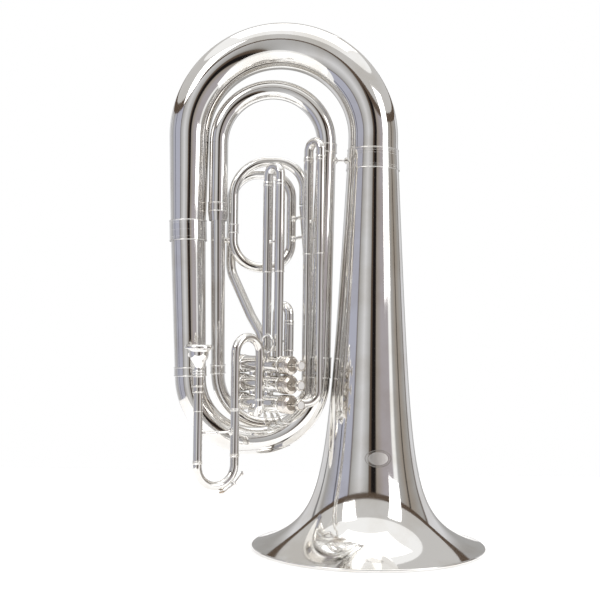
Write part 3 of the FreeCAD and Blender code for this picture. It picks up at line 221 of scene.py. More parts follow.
def matt(name, dark, light, scale, rough, depth):
    """A soft or porous stuff, such as felt, cork or pearl: mottled, with a fine grain."""
    material, tree, shader = new_material(name)
    grain = noise(tree, scale, 8)
    tree.links.new(ramp(tree, grain, [(0.35, dark), (0.65, light)]), shader.inputs["Base Color"])
    shader.inputs["Roughness"].default_value = rough
    bump(tree, shader, grain, 0.5, depth)
    return material


SILVER = plated("silver_plate", (0.875, 0.865, 0.845), (0.80, 0.775, 0.735), 0.035, 0.045)
FITTING = plated("silver_fitting", (0.86, 0.84, 0.81), (0.74, 0.69, 0.63), 0.07, 0.07, 0.04)
MOUTH = plated("mouthpiece_silver", (0.89, 0.88, 0.86), (0.82, 0.80, 0.77), 0.03, 0.03)
NICKEL = plated("piston_nickel", (0.78, 0.76, 0.73), (0.70, 0.67, 0.63), 0.16, 0.06, 0.06)
STEEL = plated("spring_steel", (0.60, 0.60, 0.61), (0.46, 0.45, 0.45), 0.25, 0.1, 0.06)
ENGRAVED = plated("engraved_silver", (0.40, 0.385, 0.365), (0.24, 0.22, 0.20), 0.38, 0.1, 0.1)
SATIN = plated("satin_silver", (0.86, 0.85, 0.83), (0.78, 0.76, 0.73), 0.30, 0.06, 0.08)
FELT = matt("pressed_felt", (0.60, 0.57, 0.51), (0.80, 0.77, 0.70), 900, 0.95, 0.0003)
FELT.node_tree.nodes["Principled BSDF"].inputs["Sheen Weight"].default_value = 0.5
CORK = matt("natural_cork", (0.33, 0.19, 0.09), (0.66, 0.47, 0.29), 700, 0.85, 0.0003)
PEARL = matt("pearl_inlay", (0.86, 0.84, 0.83), (0.95, 0.94, 0.92), 260, 0.18, 0.00002)
PEARL.node_tree.nodes["Principled BSDF"].inputs["Coat Weight"].default_value = 0.6


# ---- mesh building ----

def add_object(name, data):
    """A new object in the scene."""
    thing = bpy.data.objects.new(name, data)
    bpy.context.scene.collection.objects.link(thing)
    return thing


class Piece:
    """Collects vertices and faces in millimetres, then becomes one smooth-shaded object."""

    def __init__(self):
        self.points, self.faces, self.paint = [], [], []

    def grid(self, rows, closed_rows=False, material=0):
        """Join rows of points, each row a closed ring."""
        base, count = len(self.points), len(rows[0])
        for row in rows:
            self.points.extend(row)
        steps = len(rows) if closed_rows else len(rows) - 1
        for i in range(steps):
            a, b = base + i * count, base + (i + 1) % len(rows) * count
            for j in range(count):
                k = (j + 1) % count
                self.faces.append((a + j, a + k, b + k, b + j))
                self.paint.append(material)

    def lathe(self, profile, origin=Vector(), axis=UP, segments=64, closed=True, material=0,
              flute=None):
        """Turn (radius, height) points about an axis; a radius of 0 closes the form."""
        turn = UP.rotation_difference(axis)
        rows = []
        for radius, height in profile:
            row = []
            for j in range(segments):
                angle = 2 * math.pi * j / segments
                r = radius + (flute(angle, height, radius) if flute else 0)
                row.append(origin + turn @ Vector((r * math.cos(angle), r * math.sin(angle),
                                                   height)))
            rows.append(row)
        self.grid(rows, closed, material)

    def tube(self, path, radius, wall=None, segments=40, material=0):
        """A round tube along points; radius is a number or goes with the share of length."""
        rings = carried_rings(path)
        lengths = [0.0]
        for first, second in zip(path, path[1:]):
            lengths.append(lengths[-1] + (second - first).length)
        shares = [length / lengths[-1] for length in lengths]
        radii = [radius(share) if callable(radius) else radius for share in shares]

        def row(i, r):
            point, across, over = rings[i]
            return [point + (across * math.cos(2 * math.pi * j / segments)
                             + over * math.sin(2 * math.pi * j / segments)) * r
                    for j in range(segments)]
        outer = [row(i, radii[i]) for i in range(len(path))]
        if wall:
            inner = [row(i, radii[i] - wall) for i in reversed(range(len(path)))]
            self.grid(outer + inner, True, material)
        else:
            first = [path[0]] * segments
            last = [path[-1]] * segments
            self.grid([first] + outer + [last], False, material)

    def make(self, name, body, nodes, slot, materials, sharp=32):
        mesh = bpy.data.meshes.new(name)
        mesh.from_pydata([tuple(p * MM) for p in self.points], [], self.faces)
        for polygon, index in zip(mesh.polygons, self.paint):
            polygon.material_index = index
        for material in materials:
            mesh.materials.append(material)
        mesh.validate()
        tidy_mesh(mesh)
        mesh.shade_smooth()
        mesh.set_sharp_from_angle(angle=math.radians(sharp))
        piece = add_object(name, mesh)
        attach(piece, body)
        if nodes:
            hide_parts(*nodes)
        return piece


def tidy_mesh(mesh):
    """Merge the points at poles and make every face look outward."""
    work = bmesh.new()
    work.from_mesh(mesh)
    bmesh.ops.remove_doubles(work, verts=work.verts, dist=1e-7)
    bmesh.ops.dissolve_degenerate(work, edges=work.edges, dist=1e-8)
    bmesh.ops.recalc_face_normals(work, faces=work.faces)
    work.to_mesh(mesh)
    work.free()


def carried_rings(path):
    """At each point of a path, two directions across it that turn as little as possible."""
    rings = []
    heading = (path[1] - path[0]).normalized()
    across = heading.orthogonal().normalized()
    for i, point in enumerate(path):
        before = path[max(i - 1, 0)]
        after = path[min(i + 1, len(path) - 1)]
        new = (after - before).normalized()
        across = heading.rotation_difference(new) @ across
        across = (across - new * across.dot(new)).normalized()
        heading = new
        rings.append((point, across, new.cross(across)))
    return rings


def bent(points, radii=(), step=4):
    """Straight runs with tangent arcs at their corners, as closely spaced points."""
    path = [points[0]]

    def run_to(end):
        start = path[-1]
        count = max(1, int((end - start).length / 22))
        for i in range(1, count + 1):
            if (end - start).length > 1e-3:
                path.append(start.lerp(end, i / count))

    for before, corner, after, radius in zip(points, points[1:], points[2:], radii):
        inward = (before - corner).normalized()
        outward = (after - corner).normalized()
        half = (math.pi - inward.angle(outward)) / 2
        first = corner + inward * (radius * math.tan(half))
        middle = corner + (inward + outward).normalized() * (radius / math.cos(half))
        normal = inward.cross(outward).normalized()
        run_to(first)
        count = max(3, int(math.degrees(2 * half) / step))
        for i in range(1, count + 1):
            turn = Quaternion(normal, -2 * half * i / count)
            path.append(middle + turn @ (first - middle))
    run_to(points[-1])
    return path


def leaning(first, last):
    inset = (last - first).normalized() * JOINT_GAP
    return bent([first + inset, last - inset])


def hairpin(first, second, reach):
    half = (first - second).length / 2
    return bent([first, first + reach, second + reach, second], [half, half])


def between(start, end, middle=None, place=0.5):
    """A radius that goes evenly from start to end, or by way of a middle value at its place."""
    if middle is None:
        return lambda t: start + (end - start) * t
    first = (middle - start) / place
    second = (end - middle) / (1 - place) - first
    return lambda t: start + first * t + second * t * (t - place)


def shares(count):
    """Even shares of a length, from 0 to 1."""
    return [i / count for i in range(count + 1)]


def capped(profile):
    """A profile closed onto the axis at both ends."""
    return [(0, profile[0][1])] + profile + [(0, profile[-1][1])]


def both_ends(length, *insets):
    """Places for engraved lines, the same distances in from both ends."""
    return (*insets, *(length - inset for inset in reversed(insets)))


def sleeve(piece, point, axis, bore, length, wall=FERRULE_WALL, segments=64, end=None,
           engraved=()):
    """A sleeve with a rounded band at each end, and fine engraved lines between them."""
    end = end or bore

    def outside(z):
        return bore + (end - bore) * z / length + wall
    marks = [(z - BEAD * math.cos(math.pi * t), 0.8 * BEAD * math.sin(math.pi * t))
             for z in (BEAD, length - BEAD) for t in shares(8)]
    for z in engraved:
        marks += [(z - 0.35, 0), (z - 0.12, -0.22), (z + 0.12, -0.22), (z + 0.35, 0)]
    outer = [(outside(z) + proud, z) for z, proud in sorted(marks) if 0 <= z <= length]
    profile = [(bore, 0), (outside(0) - 0.15, 0)] + outer \
        + [(outside(length) - 0.15, length), (end, length)]
    piece.lathe(profile, point, axis, segments)


def rounded_rod(piece, first, second, radius, segments=24):
    """A rod with rounded ends."""
    way = second - first
    length, cap = way.length, radius * 0.5
    profile = [(0, 0)] + [(radius - cap + cap * math.sin(a), cap - cap * math.cos(a))
                          for a in (0, 0.5, 1.05, 1.57)]
    profile += [(r, length - z) for r, z in reversed(profile)]
    piece.lathe(profile, first, way, segments, closed=False)


def brace(piece, first, second):
    """A turned stay with a filleted flange on each tube: (point, axis, radius) at each end."""
    way = second[0] - first[0]
    length = way.length
    heading = way.normalized()
    start, stop = [radius / heading.cross(Vector(axis).normalized()).length
                   for _, axis, radius in (first, second)]
    flange = [(FOOT_RADIUS * 0.9, -FOOT_SINK), (FOOT_RADIUS, FOOT_EDGE)]
    flange += [(STAY_RADIUS + (FOOT_RADIUS - STAY_RADIUS) * (1 - t) ** 3,
                FOOT_THICKNESS + FOOT_FILLET * t) for t in shares(9)]
    profile = [(r, start + z) for r, z in flange]
    if length - start - stop > SHORT_STAY:
        profile += [(STAY_RADIUS + proud, length / 2 + offset) for offset, proud in STAY_KNOB]
    profile += [(r, length - stop - z) for r, z in reversed(flange)]
    piece.lathe(capped(profile), first[0], heading, 32, closed=False)


def silver(piece, name, nodes=None, body="instrument", material=None, slot="silver_plate",
           sharp=32):
    return piece.make(name, body, nodes or [name], slot, [material or SILVER], sharp)


# ---- bell ----

def make_bell():
    bell = Piece()
    steps, seat = 110, BELL_RIM_HEIGHT
    heights = [seat + (BELL_HEIGHT - seat) * (i / steps) ** 2 for i in range(steps + 1)]
    outer = [(bell_radius(z), z) for z in heights]
    inner = []
    for radius, z in outer:
        slope = (bell_radius(z) - bell_radius(z + 0.1)) / 0.1
        inner.append((radius - BELL_WALL * math.hypot(1, slope), z))
    bell.lathe(outer + inner[::-1], at(0, 0, 0), UP, 288)
    silver(bell, "bell_skin", ["bell"])
    rim = Piece()
    corner = BELL_RIM_WIDTH / 3
    near, far = BELL_RIM_RADIUS - BELL_RIM_WIDTH + corner, BELL_RIM_RADIUS - corner
    high = BELL_RIM_HEIGHT - corner
    profile = []
    for x, z, start in ((far, corner, -90), (far, high, 0), (near, high, 90),
                        (near, corner, 180)):
        for i in range(7):
            angle = math.radians(start + 15 * i)
            profile.append((x + corner * math.cos(angle), z + corner * math.sin(angle)))
    rim.lathe(profile, at(0, 0, 0), UP, 288)
    silver(rim, "bell_rolled_rim", ["bell_rim_wire"])
    collar = Piece()
    base = BELL_HEIGHT - FERRULE_LENGTH - FERRULE_WALL
    sleeve(collar, at(0, 0, base), UP, bell_radius(base) + FERRULE_GAP, FERRULE_LENGTH,
           segments=128, end=bell_radius(BELL_HEIGHT) + FERRULE_GAP,
           engraved=(3.5, 6, 24, FERRULE_LENGTH - 6, FERRULE_LENGTH - 3.5))
    silver(collar, "bell_collar", ["bell_ferrule"])


BADGE_HEIGHT, BADGE_TURN, BADGE_HALF_WIDTH, BADGE_HALF_HEIGHT = 152.5, 10.3, 21, 13


def on_bell(across, height, proud):
    """A point on the bell's face, across from the badge's middle."""
    radius = bell_radius(height) + proud
    angle = math.radians(BADGE_TURN) + across / bell_radius(height)
    return at(0, 0, height) + Vector((radius * math.sin(angle), -radius * math.cos(angle), 0))


def make_badge():
    """A plain maker's oval: a satin field inside two engraved rings, with no lettering."""
    badge = Piece()
    for share, width in ((1.0, 0.55), (0.80, 0.35)):
        rows = []
        for i in range(97):
            angle = 2 * math.pi * i / 96
            row = []
            for edge, proud in ((-1, 0.02), (-0.5, 0.1), (0.5, 0.1), (1, 0.02)):
                x = (BADGE_HALF_WIDTH * share + edge * width) * math.cos(angle)
                z = (BADGE_HALF_HEIGHT * share + edge * width) * math.sin(angle)
                row.append(on_bell(x, BADGE_HEIGHT + z, proud))
            rows.append(row)
        badge.grid(rows, False, 0)
    for i in range(72):  # short rays between the rings
        angle = 2 * math.pi * i / 72
        rows = []
        for share in (0.85, 0.95):
            x = BADGE_HALF_WIDTH * share * math.cos(angle)
            z = BADGE_HALF_HEIGHT * share * math.sin(angle)
            rows.append([on_bell(x - 0.22, BADGE_HEIGHT + z, 0.01),
                         on_bell(x, BADGE_HEIGHT + z, 0.09),
                         on_bell(x + 0.22, BADGE_HEIGHT + z, 0.01)])
        badge.grid(rows, False, 0)
    rows = []
    for i in range(13):
        share = 0.76 * i / 12
        rows.append([on_bell(BADGE_HALF_WIDTH * share * math.cos(2 * math.pi * j / 72),
                             BADGE_HEIGHT + BADGE_HALF_HEIGHT * share
                             * math.sin(2 * math.pi * j / 72), 0.03) for j in range(72)])
    badge.grid(rows, False, 1)
    badge.make("bell_badge", "instrument", [], "silver_plate", [ENGRAVED, SATIN])


# ---- large tubes ----

top_axis = TOP_BOW_HEIGHT - TOP_BOW_CROWN_RADIUS
left_side = (TOP_BOW_CROWN_RADIUS + LEFT_JOINT_RADIUS) / 2 - 0.4
left_edge = TOP_BOW_SPAN + left_side
inner_reach = left_edge - 2 * left_side - INNER_GAP - INNER_RADIUS
bell_joint = at(0, 0, BELL_HEIGHT)
left_joint = at(TOP_BOW_SPAN, 0, LEFT_JOINT_HEIGHT)
left_foot = at(BOTTOM_BOW_REACH, 0, BOTTOM_BOW_HEIGHT)
right_reach = bell_radius(BOTTOM_BOW_HEIGHT) + RIGHT_BRANCH_GAP + BOTTOM_BOW_RIGHT_RADIUS
right_foot = at(right_reach, 0, BOTTOM_BOW_HEIGHT)
right_top = at(RIGHT_TOP_REACH, 0, INNER_TOP_HEIGHT)
bottom_bend = (BOTTOM_BOW_REACH - right_reach) / 2
top_path = bent([bell_joint, at(0, 0, top_axis), at(TOP_BOW_SPAN, 0, top_axis), left_joint],
                [TOP_BOW_SPAN / 2, TOP_BOW_SPAN / 2], 2)
bottom_path = hairpin(left_foot, right_foot, UP * -bottom_bend)
inner_top = at(inner_reach, 0, INNER_TOP_HEIGHT)
inner_bend = (inner_reach - RIGHT_TOP_REACH) / 2
reducer = at(inner_reach, 0, REDUCER_HEIGHT)
inner_left_foot = at(inner_reach, INNER_BOTTOM_DEPTH, INNER_BOTTOM_HEIGHT)
inner_right_foot = at(right_reach, INNER_RIGHT_DEPTH, INNER_BOTTOM_HEIGHT)
inner_bottom_bend = (inner_left_foot - inner_right_foot).length / 2
coil_start = at(COIL_START_REACH, COIL_START_DEPTH, COIL_START_HEIGHT)
outlet_start = at(COIL_LEFT + COIL_SHIFT, COIL_DEPTH + COIL_PITCH, (COIL_TOP + COIL_BOTTOM) / 2)
top_arc, top_spring = math.pi * TOP_BOW_SPAN / 2, top_axis - TOP_BOW_SPAN / 2
crown_share = (top_spring - BELL_HEIGHT + top_arc / 2) \
    / (2 * top_spring - BELL_HEIGHT - LEFT_JOINT_HEIGHT + top_arc)
top_radius = between(bell_radius(BELL_HEIGHT), LEFT_JOINT_RADIUS, TOP_BOW_CROWN_RADIUS,
                     crown_share)


def one_tube(name, path, radius, wall=TUBE_WALL, segments=72):
    piece = Piece()
    piece.tube(path, radius, wall, segments)
    silver(piece, name + "_tube", [name])


def make_outer_loop():
    one_tube("top_bow", top_path, top_radius, segments=128)
    one_tube("left_branch", leaning(left_joint, left_foot),
             between(LEFT_JOINT_RADIUS, BOTTOM_BOW_LEFT_RADIUS), segments=112)
    one_tube("bottom_bow", bottom_path,
             between(BOTTOM_BOW_LEFT_RADIUS, BOTTOM_BOW_RIGHT_RADIUS), segments=112)
    one_tube("right_branch", leaning(right_foot, right_top),
             between(BOTTOM_BOW_RIGHT_RADIUS, RIGHT_TOP_RADIUS), segments=96)
    lean = (left_joint - left_foot).normalized()
    collar = Piece()
    sleeve(collar, left_joint - lean * FERRULE_LENGTH / 2, lean, LEFT_JOINT_RADIUS + 1,
           FERRULE_LENGTH, segments=112, engraved=(3.5, 6, 17, 28, 30.5))
    silver(collar, "left_collar", ["left_branch_ferrule"])
    pair = Piece()
    sleeve(pair, left_foot, lean, BOTTOM_BOW_LEFT_RADIUS + 4 * FERRULE_GAP, SMALL_FERRULE,
           segments=112, engraved=both_ends(SMALL_FERRULE, 4))
    sleeve(pair, right_foot, right_top - right_foot,
           BOTTOM_BOW_RIGHT_RADIUS + 4 * FERRULE_GAP, FERRULE_LENGTH, segments=96,
           engraved=both_ends(FERRULE_LENGTH, 3.5, 6))
    silver(pair, "bottom_bow_collars", ["bottom_bow_ferrules"])


def make_inner_loop():
    one_tube("inner_top_bow", hairpin(inner_top, right_top, UP * inner_bend),
             between(INNER_RADIUS, RIGHT_TOP_RADIUS))
    one_tube("inner_left_branch_upper", bent([inner_top, reducer]), INNER_RADIUS)
    one_tube("inner_left_branch_lower", leaning(reducer, inner_left_foot),
             between(INNER_LOWER_RADIUS, INNER_BOTTOM_RADIUS), SMALL_WALL)
    one_tube("inner_bottom_bow",
             hairpin(inner_left_foot, inner_right_foot, UP * -inner_bottom_bend),
             between(INNER_BOTTOM_RADIUS, INNER_RIGHT_RADIUS), SMALL_WALL)
    one_tube("inner_right_branch", leaning(inner_right_foot, coil_start),
             between(INNER_RIGHT_RADIUS, COIL_RADIUS), SMALL_WALL)
    joint = Piece()
    sleeve(joint, reducer, UP, INNER_RADIUS + FERRULE_GAP, SMALL_FERRULE,
           engraved=both_ends(SMALL_FERRULE, 4))
    top, foot = INNER_RADIUS + FERRULE_WALL, INNER_LOWER_RADIUS + 3 * FERRULE_WALL
    curve = [(foot + (top - foot) * (0.5 + 0.5 * math.cos(math.pi * i / 12)),
              SMALL_FERRULE * i / 12) for i in range(13)]
    bore = INNER_LOWER_RADIUS + 2 * FERRULE_WALL
    joint.lathe([(bore, 0)] + curve + [(bore, SMALL_FERRULE)], reducer, -UP)
    silver(joint, "inner_reducer", ["inner_branch_reducer"])


def make_coil():
    high, low, back = COIL_TOP - COIL_DROP, COIL_BOTTOM, COIL_DEPTH + COIL_PITCH
    points = [coil_start, at(COIL_START_REACH, COIL_DEPTH, COIL_TOP),
              at(COIL_LEFT, COIL_DEPTH, COIL_TOP), at(COIL_LEFT, COIL_DEPTH, low),
              at(COIL_RIGHT, back, low), at(COIL_RIGHT, back, high),
              at(COIL_LEFT + COIL_SHIFT, back, high), outlet_start]
    one_tube("main_coil", bent(points, COIL_BENDS, 3), COIL_RADIUS, SMALL_WALL, 56)
    back_point = on_valve(1, OUTLET_STATION, OUTLET_BACK)
    inward, forward, above = OUTLET_KNEE
    route = [outlet_start - UP * JOINT_GAP, outlet_start + OUTLET_FALL,
             at(COIL_LEFT - inward, COIL_DEPTH - forward, VALVE_TOP + above),
             back_point + UP * OUTLET_RISE, back_point,
             on_valve(1, OUTLET_STATION, CASING_RADIUS - CASING_WALL)]
    one_tube("valve_outlet_tube", bent(route, OUTLET_BENDS, 3), COIL_RADIUS, SMALL_WALL, 56)


def make_guard(name, node, path, radius, start, end, aim, half_angle):
    """A thin plate hugging the outside of a bow, pointed at both ends, with a soft edge."""
    rings, count = carried_rings(path), len(path)
    first, last = int(count * start), int(count * end)
    piece, rows = Piece(), []
    for i in range(first, last + 1):
        t = (i - first) / (last - first)
        reach = half_angle * max(0.02, 1 - abs(2 * t - 1) ** 2.6) ** 0.5
        point, across, over = rings[i]
        heading = across.cross(over)
        out = (point - aim) - heading * (point - aim).dot(heading)
        out.normalize()
        side = heading.cross(out)
        r = radius(i / (count - 1)) + GUARD_GAP
        row = []
        for layer in (0, 1):
            for j in range(GUARD_STEPS + 1):
                u = (-1 + 2 * j / GUARD_STEPS) * (1 - 2 * layer)
                thick = GUARD_WALL * min(1, 0.35 + 7 * (1 - abs(u))) * (1 - layer)
                angle = math.radians(reach) * u
                row.append(point + (out * math.cos(angle) + side * math.sin(angle))
                           * (r + thick))
        rows.append(row)
    count = len(rows[0])
    tips = [[sum(row, Vector()) / count] * count for row in (rows[0], rows[-1])]
    piece.grid([tips[0]] + rows + [tips[1]])
    silver(piece, name, [node])


# ---- valve block ----

def knurl(depth, count, low, high):
    """Fine straight knurling on one band of a turned piece."""
    def flute(angle, height, radius):
        if low < height < high and radius > CASING_RADIUS:
            return -depth * (0.5 + 0.5 * math.cos(count * angle))
        return 0
    return flute


def make_cap(piece, number, end, inward):
    """A screw cap: skirt, knurled band, groove and a stepped, domed face."""
    outer = CASING_RADIUS + CAP_FIT + CAP_WALL
    full = CAP_SKIRT + CAP_THICKNESS
    hole = 3.0 if inward < 0 else 0.9
    profile = [(hole, 0), (hole, -CAP_WALL)]
    profile += [(hole + 0.6 + (CASING_RADIUS - 3.6 - hole) * t, -CAP_WALL + 0.5 * t * t * 0.6)
                for t in shares(8)]
    profile += [(CASING_RADIUS - 1.6, -0.6), (CASING_RADIUS - 0.4, -0.1), (outer - 0.9, 0),
                (outer - 0.35, 0.15), (outer, 0.6), (outer, 1.0)]
    profile += [(outer, 1.1 + 0.35 * i) for i in range(12)]
    profile += [(outer - 0.5, 5.3), (outer - 0.5, 6.0), (outer, 6.3), (outer, full - 4.2),
                (outer - 0.4, full - 3.9), (outer - 0.4, full - 3.5), (outer, full - 3.2),
                (outer, full - 0.4), (outer - 0.3, full)]
    profile += [(CASING_RADIUS + CAP_FIT, full), (CASING_RADIUS + CAP_FIT, CAP_THICKNESS),
                (hole, CAP_THICKNESS)]
    face = on_valve(number, end - inward * CAP_THICKNESS)
    piece.lathe(profile, face, VALVE_AXIS * inward, 180, closed=True,
                flute=knurl(0.3, 60, 1.05, 5.0))


def make_valves():
    first, last = CASING_START, CASING_START + CASING_LENGTH
    for number in (1, 2, 3):
        casing = Piece()
        profile = [(CASING_RADIUS - CASING_WALL, 0), (CASING_RADIUS, 0)]
        for z in (CAP_SKIRT + 4, CASING_LENGTH - CAP_SKIRT - 4):
            profile += [(CASING_RADIUS, z - 1.6)]
            profile += [(CASING_RADIUS + 0.9 * math.sin(math.pi * i / 8), z - 1.6 + 3.2 * i / 8)
                        for i in range(1, 8)]
            profile += [(CASING_RADIUS, z + 1.6)]
        profile += [(CASING_RADIUS, CASING_LENGTH), (CASING_RADIUS - CASING_WALL,
                                                     CASING_LENGTH)]
        casing.lathe(profile, on_valve(number, first), VALVE_AXIS, 112)
        silver(casing, f"casing_{number}", [f"valve_casing_{number}"])
    for name, end, inward in (("valve_top_caps", last, -1), ("valve_bottom_caps", first, 1)):
        caps = Piece()
        for number in (1, 2, 3):
            make_cap(caps, number, end, inward)
        silver(caps, name + "_turned", [name], material=FITTING, sharp=40)
    knuckles = Piece()
    for number in (1, 2):
        for station in KNUCKLE_STATIONS:
            low, high = on_valve(number + 1, station), on_valve(number, station)
            inset = math.sqrt(CASING_RADIUS ** 2 - KNUCKLE_RADIUS ** 2)
            profile = [(KNUCKLE_RADIUS + KNUCKLE_FLARE * (2 * abs(t - 0.5)) ** 3,
                        inset - 0.4 + (VALVE_PITCH - 2 * inset + 0.8) * t)
                       for t in shares(16)]
            knuckles.lathe(profile + [(KNUCKLE_RADIUS - SMALL_WALL, profile[-1][1]),
                                      (KNUCKLE_RADIUS - SMALL_WALL, profile[0][1])],
                           low, high - low, 64)
    silver(knuckles, "valve_knuckle_tubes", ["valve_knuckles"])


def make_buttons():
    for number in (1, 2, 3):
        button, seat = Piece(), on_valve(number, BUTTON_STATION)
        r, h = BUTTON_RADIUS, BUTTON_THICKNESS
        profile = [(0, 0), (3.4, 0), (3.6, 0.5), (5.4, 0.9), (r - 1.2, 1.3), (r - 0.35, 1.9),
                   (r, 2.8), (r, 3.5), (r - 0.3, 4.5), (r - 1.0, 5.2), (r - 1.7, h),
                   (r - 2.3, h - 0.15), (r - 2.5, h - 0.7), (0, h - 0.7)]
        button.lathe(profile, seat, VALVE_AXIS, 72, closed=False)
        button.make(f"button_{number}", f"piston_{number}", [f"finger_button_{number}"],
                    "button_pearl", [FITTING], 40)
        inlay = Piece()
        face = [((r - 2.55) * math.sin(math.pi / 2 * i / 8),
                 h - 0.65 + 0.45 * math.cos(math.pi / 2 * i / 8)) for i in range(9)]
        inlay.lathe(face + [(0, h - 0.68)], seat, VALVE_AXIS, 72, closed=False)
        inlay.make(f"button_{number}_pearl", f"piston_{number}", [], "button_pearl", [PEARL])
        felt = Piece()
        r0, r1, t = STEM_RADIUS + FELT_FIT, FELT_RADIUS, FELT_THICKNESS
        felt.lathe([(r0, 0.2), (r0 + 0.3, 0), (r1 - 0.6, 0.02), (r1 - 0.15, 0.35), (r1, t / 2),
                    (r1 - 0.15, t - 0.35), (r1 - 0.6, t - 0.02), (r0 + 0.3, t), (r0, t - 0.2)],
                   on_valve(number, BUTTON_STATION - t - SEAT_GAP), VALVE_AXIS, 72)
        felt.make(f"felt_{number}", f"piston_{number}", [f"button_felt_{number}"], "felt",
                  [FELT], 60)


# ---- valve slides ----

third_centre = at(THIRD_REACH, -THIRD_DEPTH, 0)


def make_slide(number):
    station, top, sleeve_length, leg_length = SLIDES[number]
    collar = top - CROOK - SLIDE_HALF - SLIDE_NECK
    foot_height = collar - sleeve_length
    fixed, feet = Piece(), []
    for side in (-1, 1):
        start = on_valve(number, station + side * SLIDE_HALF)
        if number == 1:
            foot, bends = start, []
            route = [start + UP * (CASING_RADIUS - 1)]
        else:
            if number == 2:
                foot, bends = on_valve(2, station + side * SLIDE_HALF, SECOND_BACK), [14]
            else:
                foot, bends = third_centre + VALVE_AXIS * (side * SLIDE_HALF), [20]
                foot.z = start.z
            route = [start + (foot - start).normalized() * (CASING_RADIUS - 1), foot]
        joint = Vector((foot.x, foot.y, foot_height))
        fixed.tube(bent(route + [joint], bends), SLIDE_TUBE, SMALL_WALL, 48)
        sleeve(fixed, joint, UP, SLIDE_LEG + 0.05, sleeve_length, SLEEVE - SLIDE_LEG - 0.05, 48,
               engraved=(2.6, sleeve_length - 3.2, sleeve_length - 4.6))
        feet.append(Vector((foot.x, foot.y, collar + STOP_GAP)))
    rung = foot_height + sleeve_length * 0.35
    ends = [(Vector((foot.x, foot.y, rung)), UP, SLEEVE) for foot in feet]
    turned_rung(fixed, *ends)
    silver(fixed, f"slide_{number}_sleeves", [f"valve_slide_sleeves_{number}"])

    slide = Piece()
    reach = UP * (top - CROOK - feet[0].z)
    slide.tube(hairpin(feet[0] + UP * 2, feet[1] + UP * 2, reach - UP * 2), CROOK, None, 56)
    for foot in feet:
        slide.lathe([(SLIDE_LEG - 0.5, -leg_length), (SLIDE_LEG, -leg_length + 0.3),
                     (SLIDE_LEG, 1), (SLIDE_LEG - 0.5, 1)], foot, UP, 48)
        edge = SLEEVE + 0.35
        slide.lathe([(SLIDE_LEG - 0.3, 0), (edge - 0.4, 0), (edge, 0.4), (edge, 1.2),
                     (edge - 0.35, 1.5), (edge - 0.35, 1.9), (edge, 2.2), (edge, 3.2),
                     (edge - 0.35, 3.9), (CROOK + 0.15, COLLAR_HEIGHT), (SLIDE_LEG - 0.3,
                                                                       COLLAR_HEIGHT)],
                    foot, UP, 56)
    silver(slide, f"slide_{number}", [f"valve_slide_{number}"], f"valve_slide_{number}")


def turned_rung(piece, first, second):
    """A short crossbar between two tubes, waisted towards its middle."""
    way = second[0] - first[0]
    length, inset = way.length, first[2] - 0.4
    profile = [(STAY_RADIUS * (0.72 + 0.9 * (2 * abs(t - 0.5)) ** 3),
                inset + (length - 2 * inset) * t) for t in shares(16)]
    piece.lathe(capped(profile), first[0], way, 28, closed=False)


# ---- mouthpiece, leadpipe and tuning slide ----

mouth = at(MOUTH_REACH, -MOUTH_DEPTH, 0)
right_axis = at(TUNING_RIGHT_REACH, -TUNING_RIGHT_DEPTH, 0)
crook_right = at(LEAD_CROOK_REACH, -LEAD_CROOK_DEPTH, 0)
throat_height = MOUTH_TOP - CUP_DEPTH
shank_end = throat_height - SHANK_LENGTH
receiver_foot = mouth + UP * (RECEIVER_TOP - RECEIVER_LENGTH)
leadpipe_foot = receiver_foot - UP * LEADPIPE_LENGTH


def smooth(points, count):
    """Points along a Catmull-Rom curve through a few (radius, height) points."""
    padded = [points[0]] + list(points) + [points[-1]]
    result = []
    for a, b, c, d in zip(padded, padded[1:], padded[2:], padded[3:]):
        for i in range(count):
            t = i / count
            result.append(tuple(0.5 * (2 * b[k] + (c[k] - a[k]) * t
                                       + (2 * a[k] - 5 * b[k] + 4 * c[k] - d[k]) * t ** 2
                                       + (3 * b[k] - a[k] - 3 * c[k] + d[k]) * t ** 3)
                                for k in (0, 1)))
    return result + [points[-1]]


def make_mouthpiece():
    piece = Piece()
    cup = smooth([(THROAT_OUTER, throat_height), (CUP_OUTER * 0.62, throat_height + 7),
                  (CUP_OUTER * 0.9, throat_height + 15), (CUP_OUTER, MOUTH_TOP - 10)], 10)
    rim = smooth([(CUP_OUTER + 1.2, MOUTH_TOP - 7.5), (MOUTH_RIM - 0.8, MOUTH_TOP - 6.0),
                  (MOUTH_RIM, MOUTH_TOP - 4.4), (MOUTH_RIM - 0.6, MOUTH_TOP - 2.2),
                  (MOUTH_RIM - 1.7, MOUTH_TOP - 0.7), (MOUTH_RIM - 3, MOUTH_TOP),
                  (CUP_BORE + 1.4, MOUTH_TOP - 0.7), (CUP_BORE + 0.4, MOUTH_TOP - 2.2),
                  (CUP_BORE, MOUTH_TOP - 4)], 6)
    bowl = smooth([(CUP_BORE, MOUTH_TOP - 4.2), (CUP_BORE * 0.86, MOUTH_TOP - 14),
                   (CUP_BORE * 0.55, throat_height + 10), (THROAT, throat_height)], 10)
    piece.lathe([(SHANK_END, shank_end), (SHANK_TOP, RECEIVER_TOP)] + cup + rim + bowl
                + [(SHANK_END - 1, shank_end)], mouth, UP, 128)
    silver(piece, "mouthpiece_turned", ["mouthpiece"], "mouthpiece", MOUTH,
           "mouthpiece_silver")


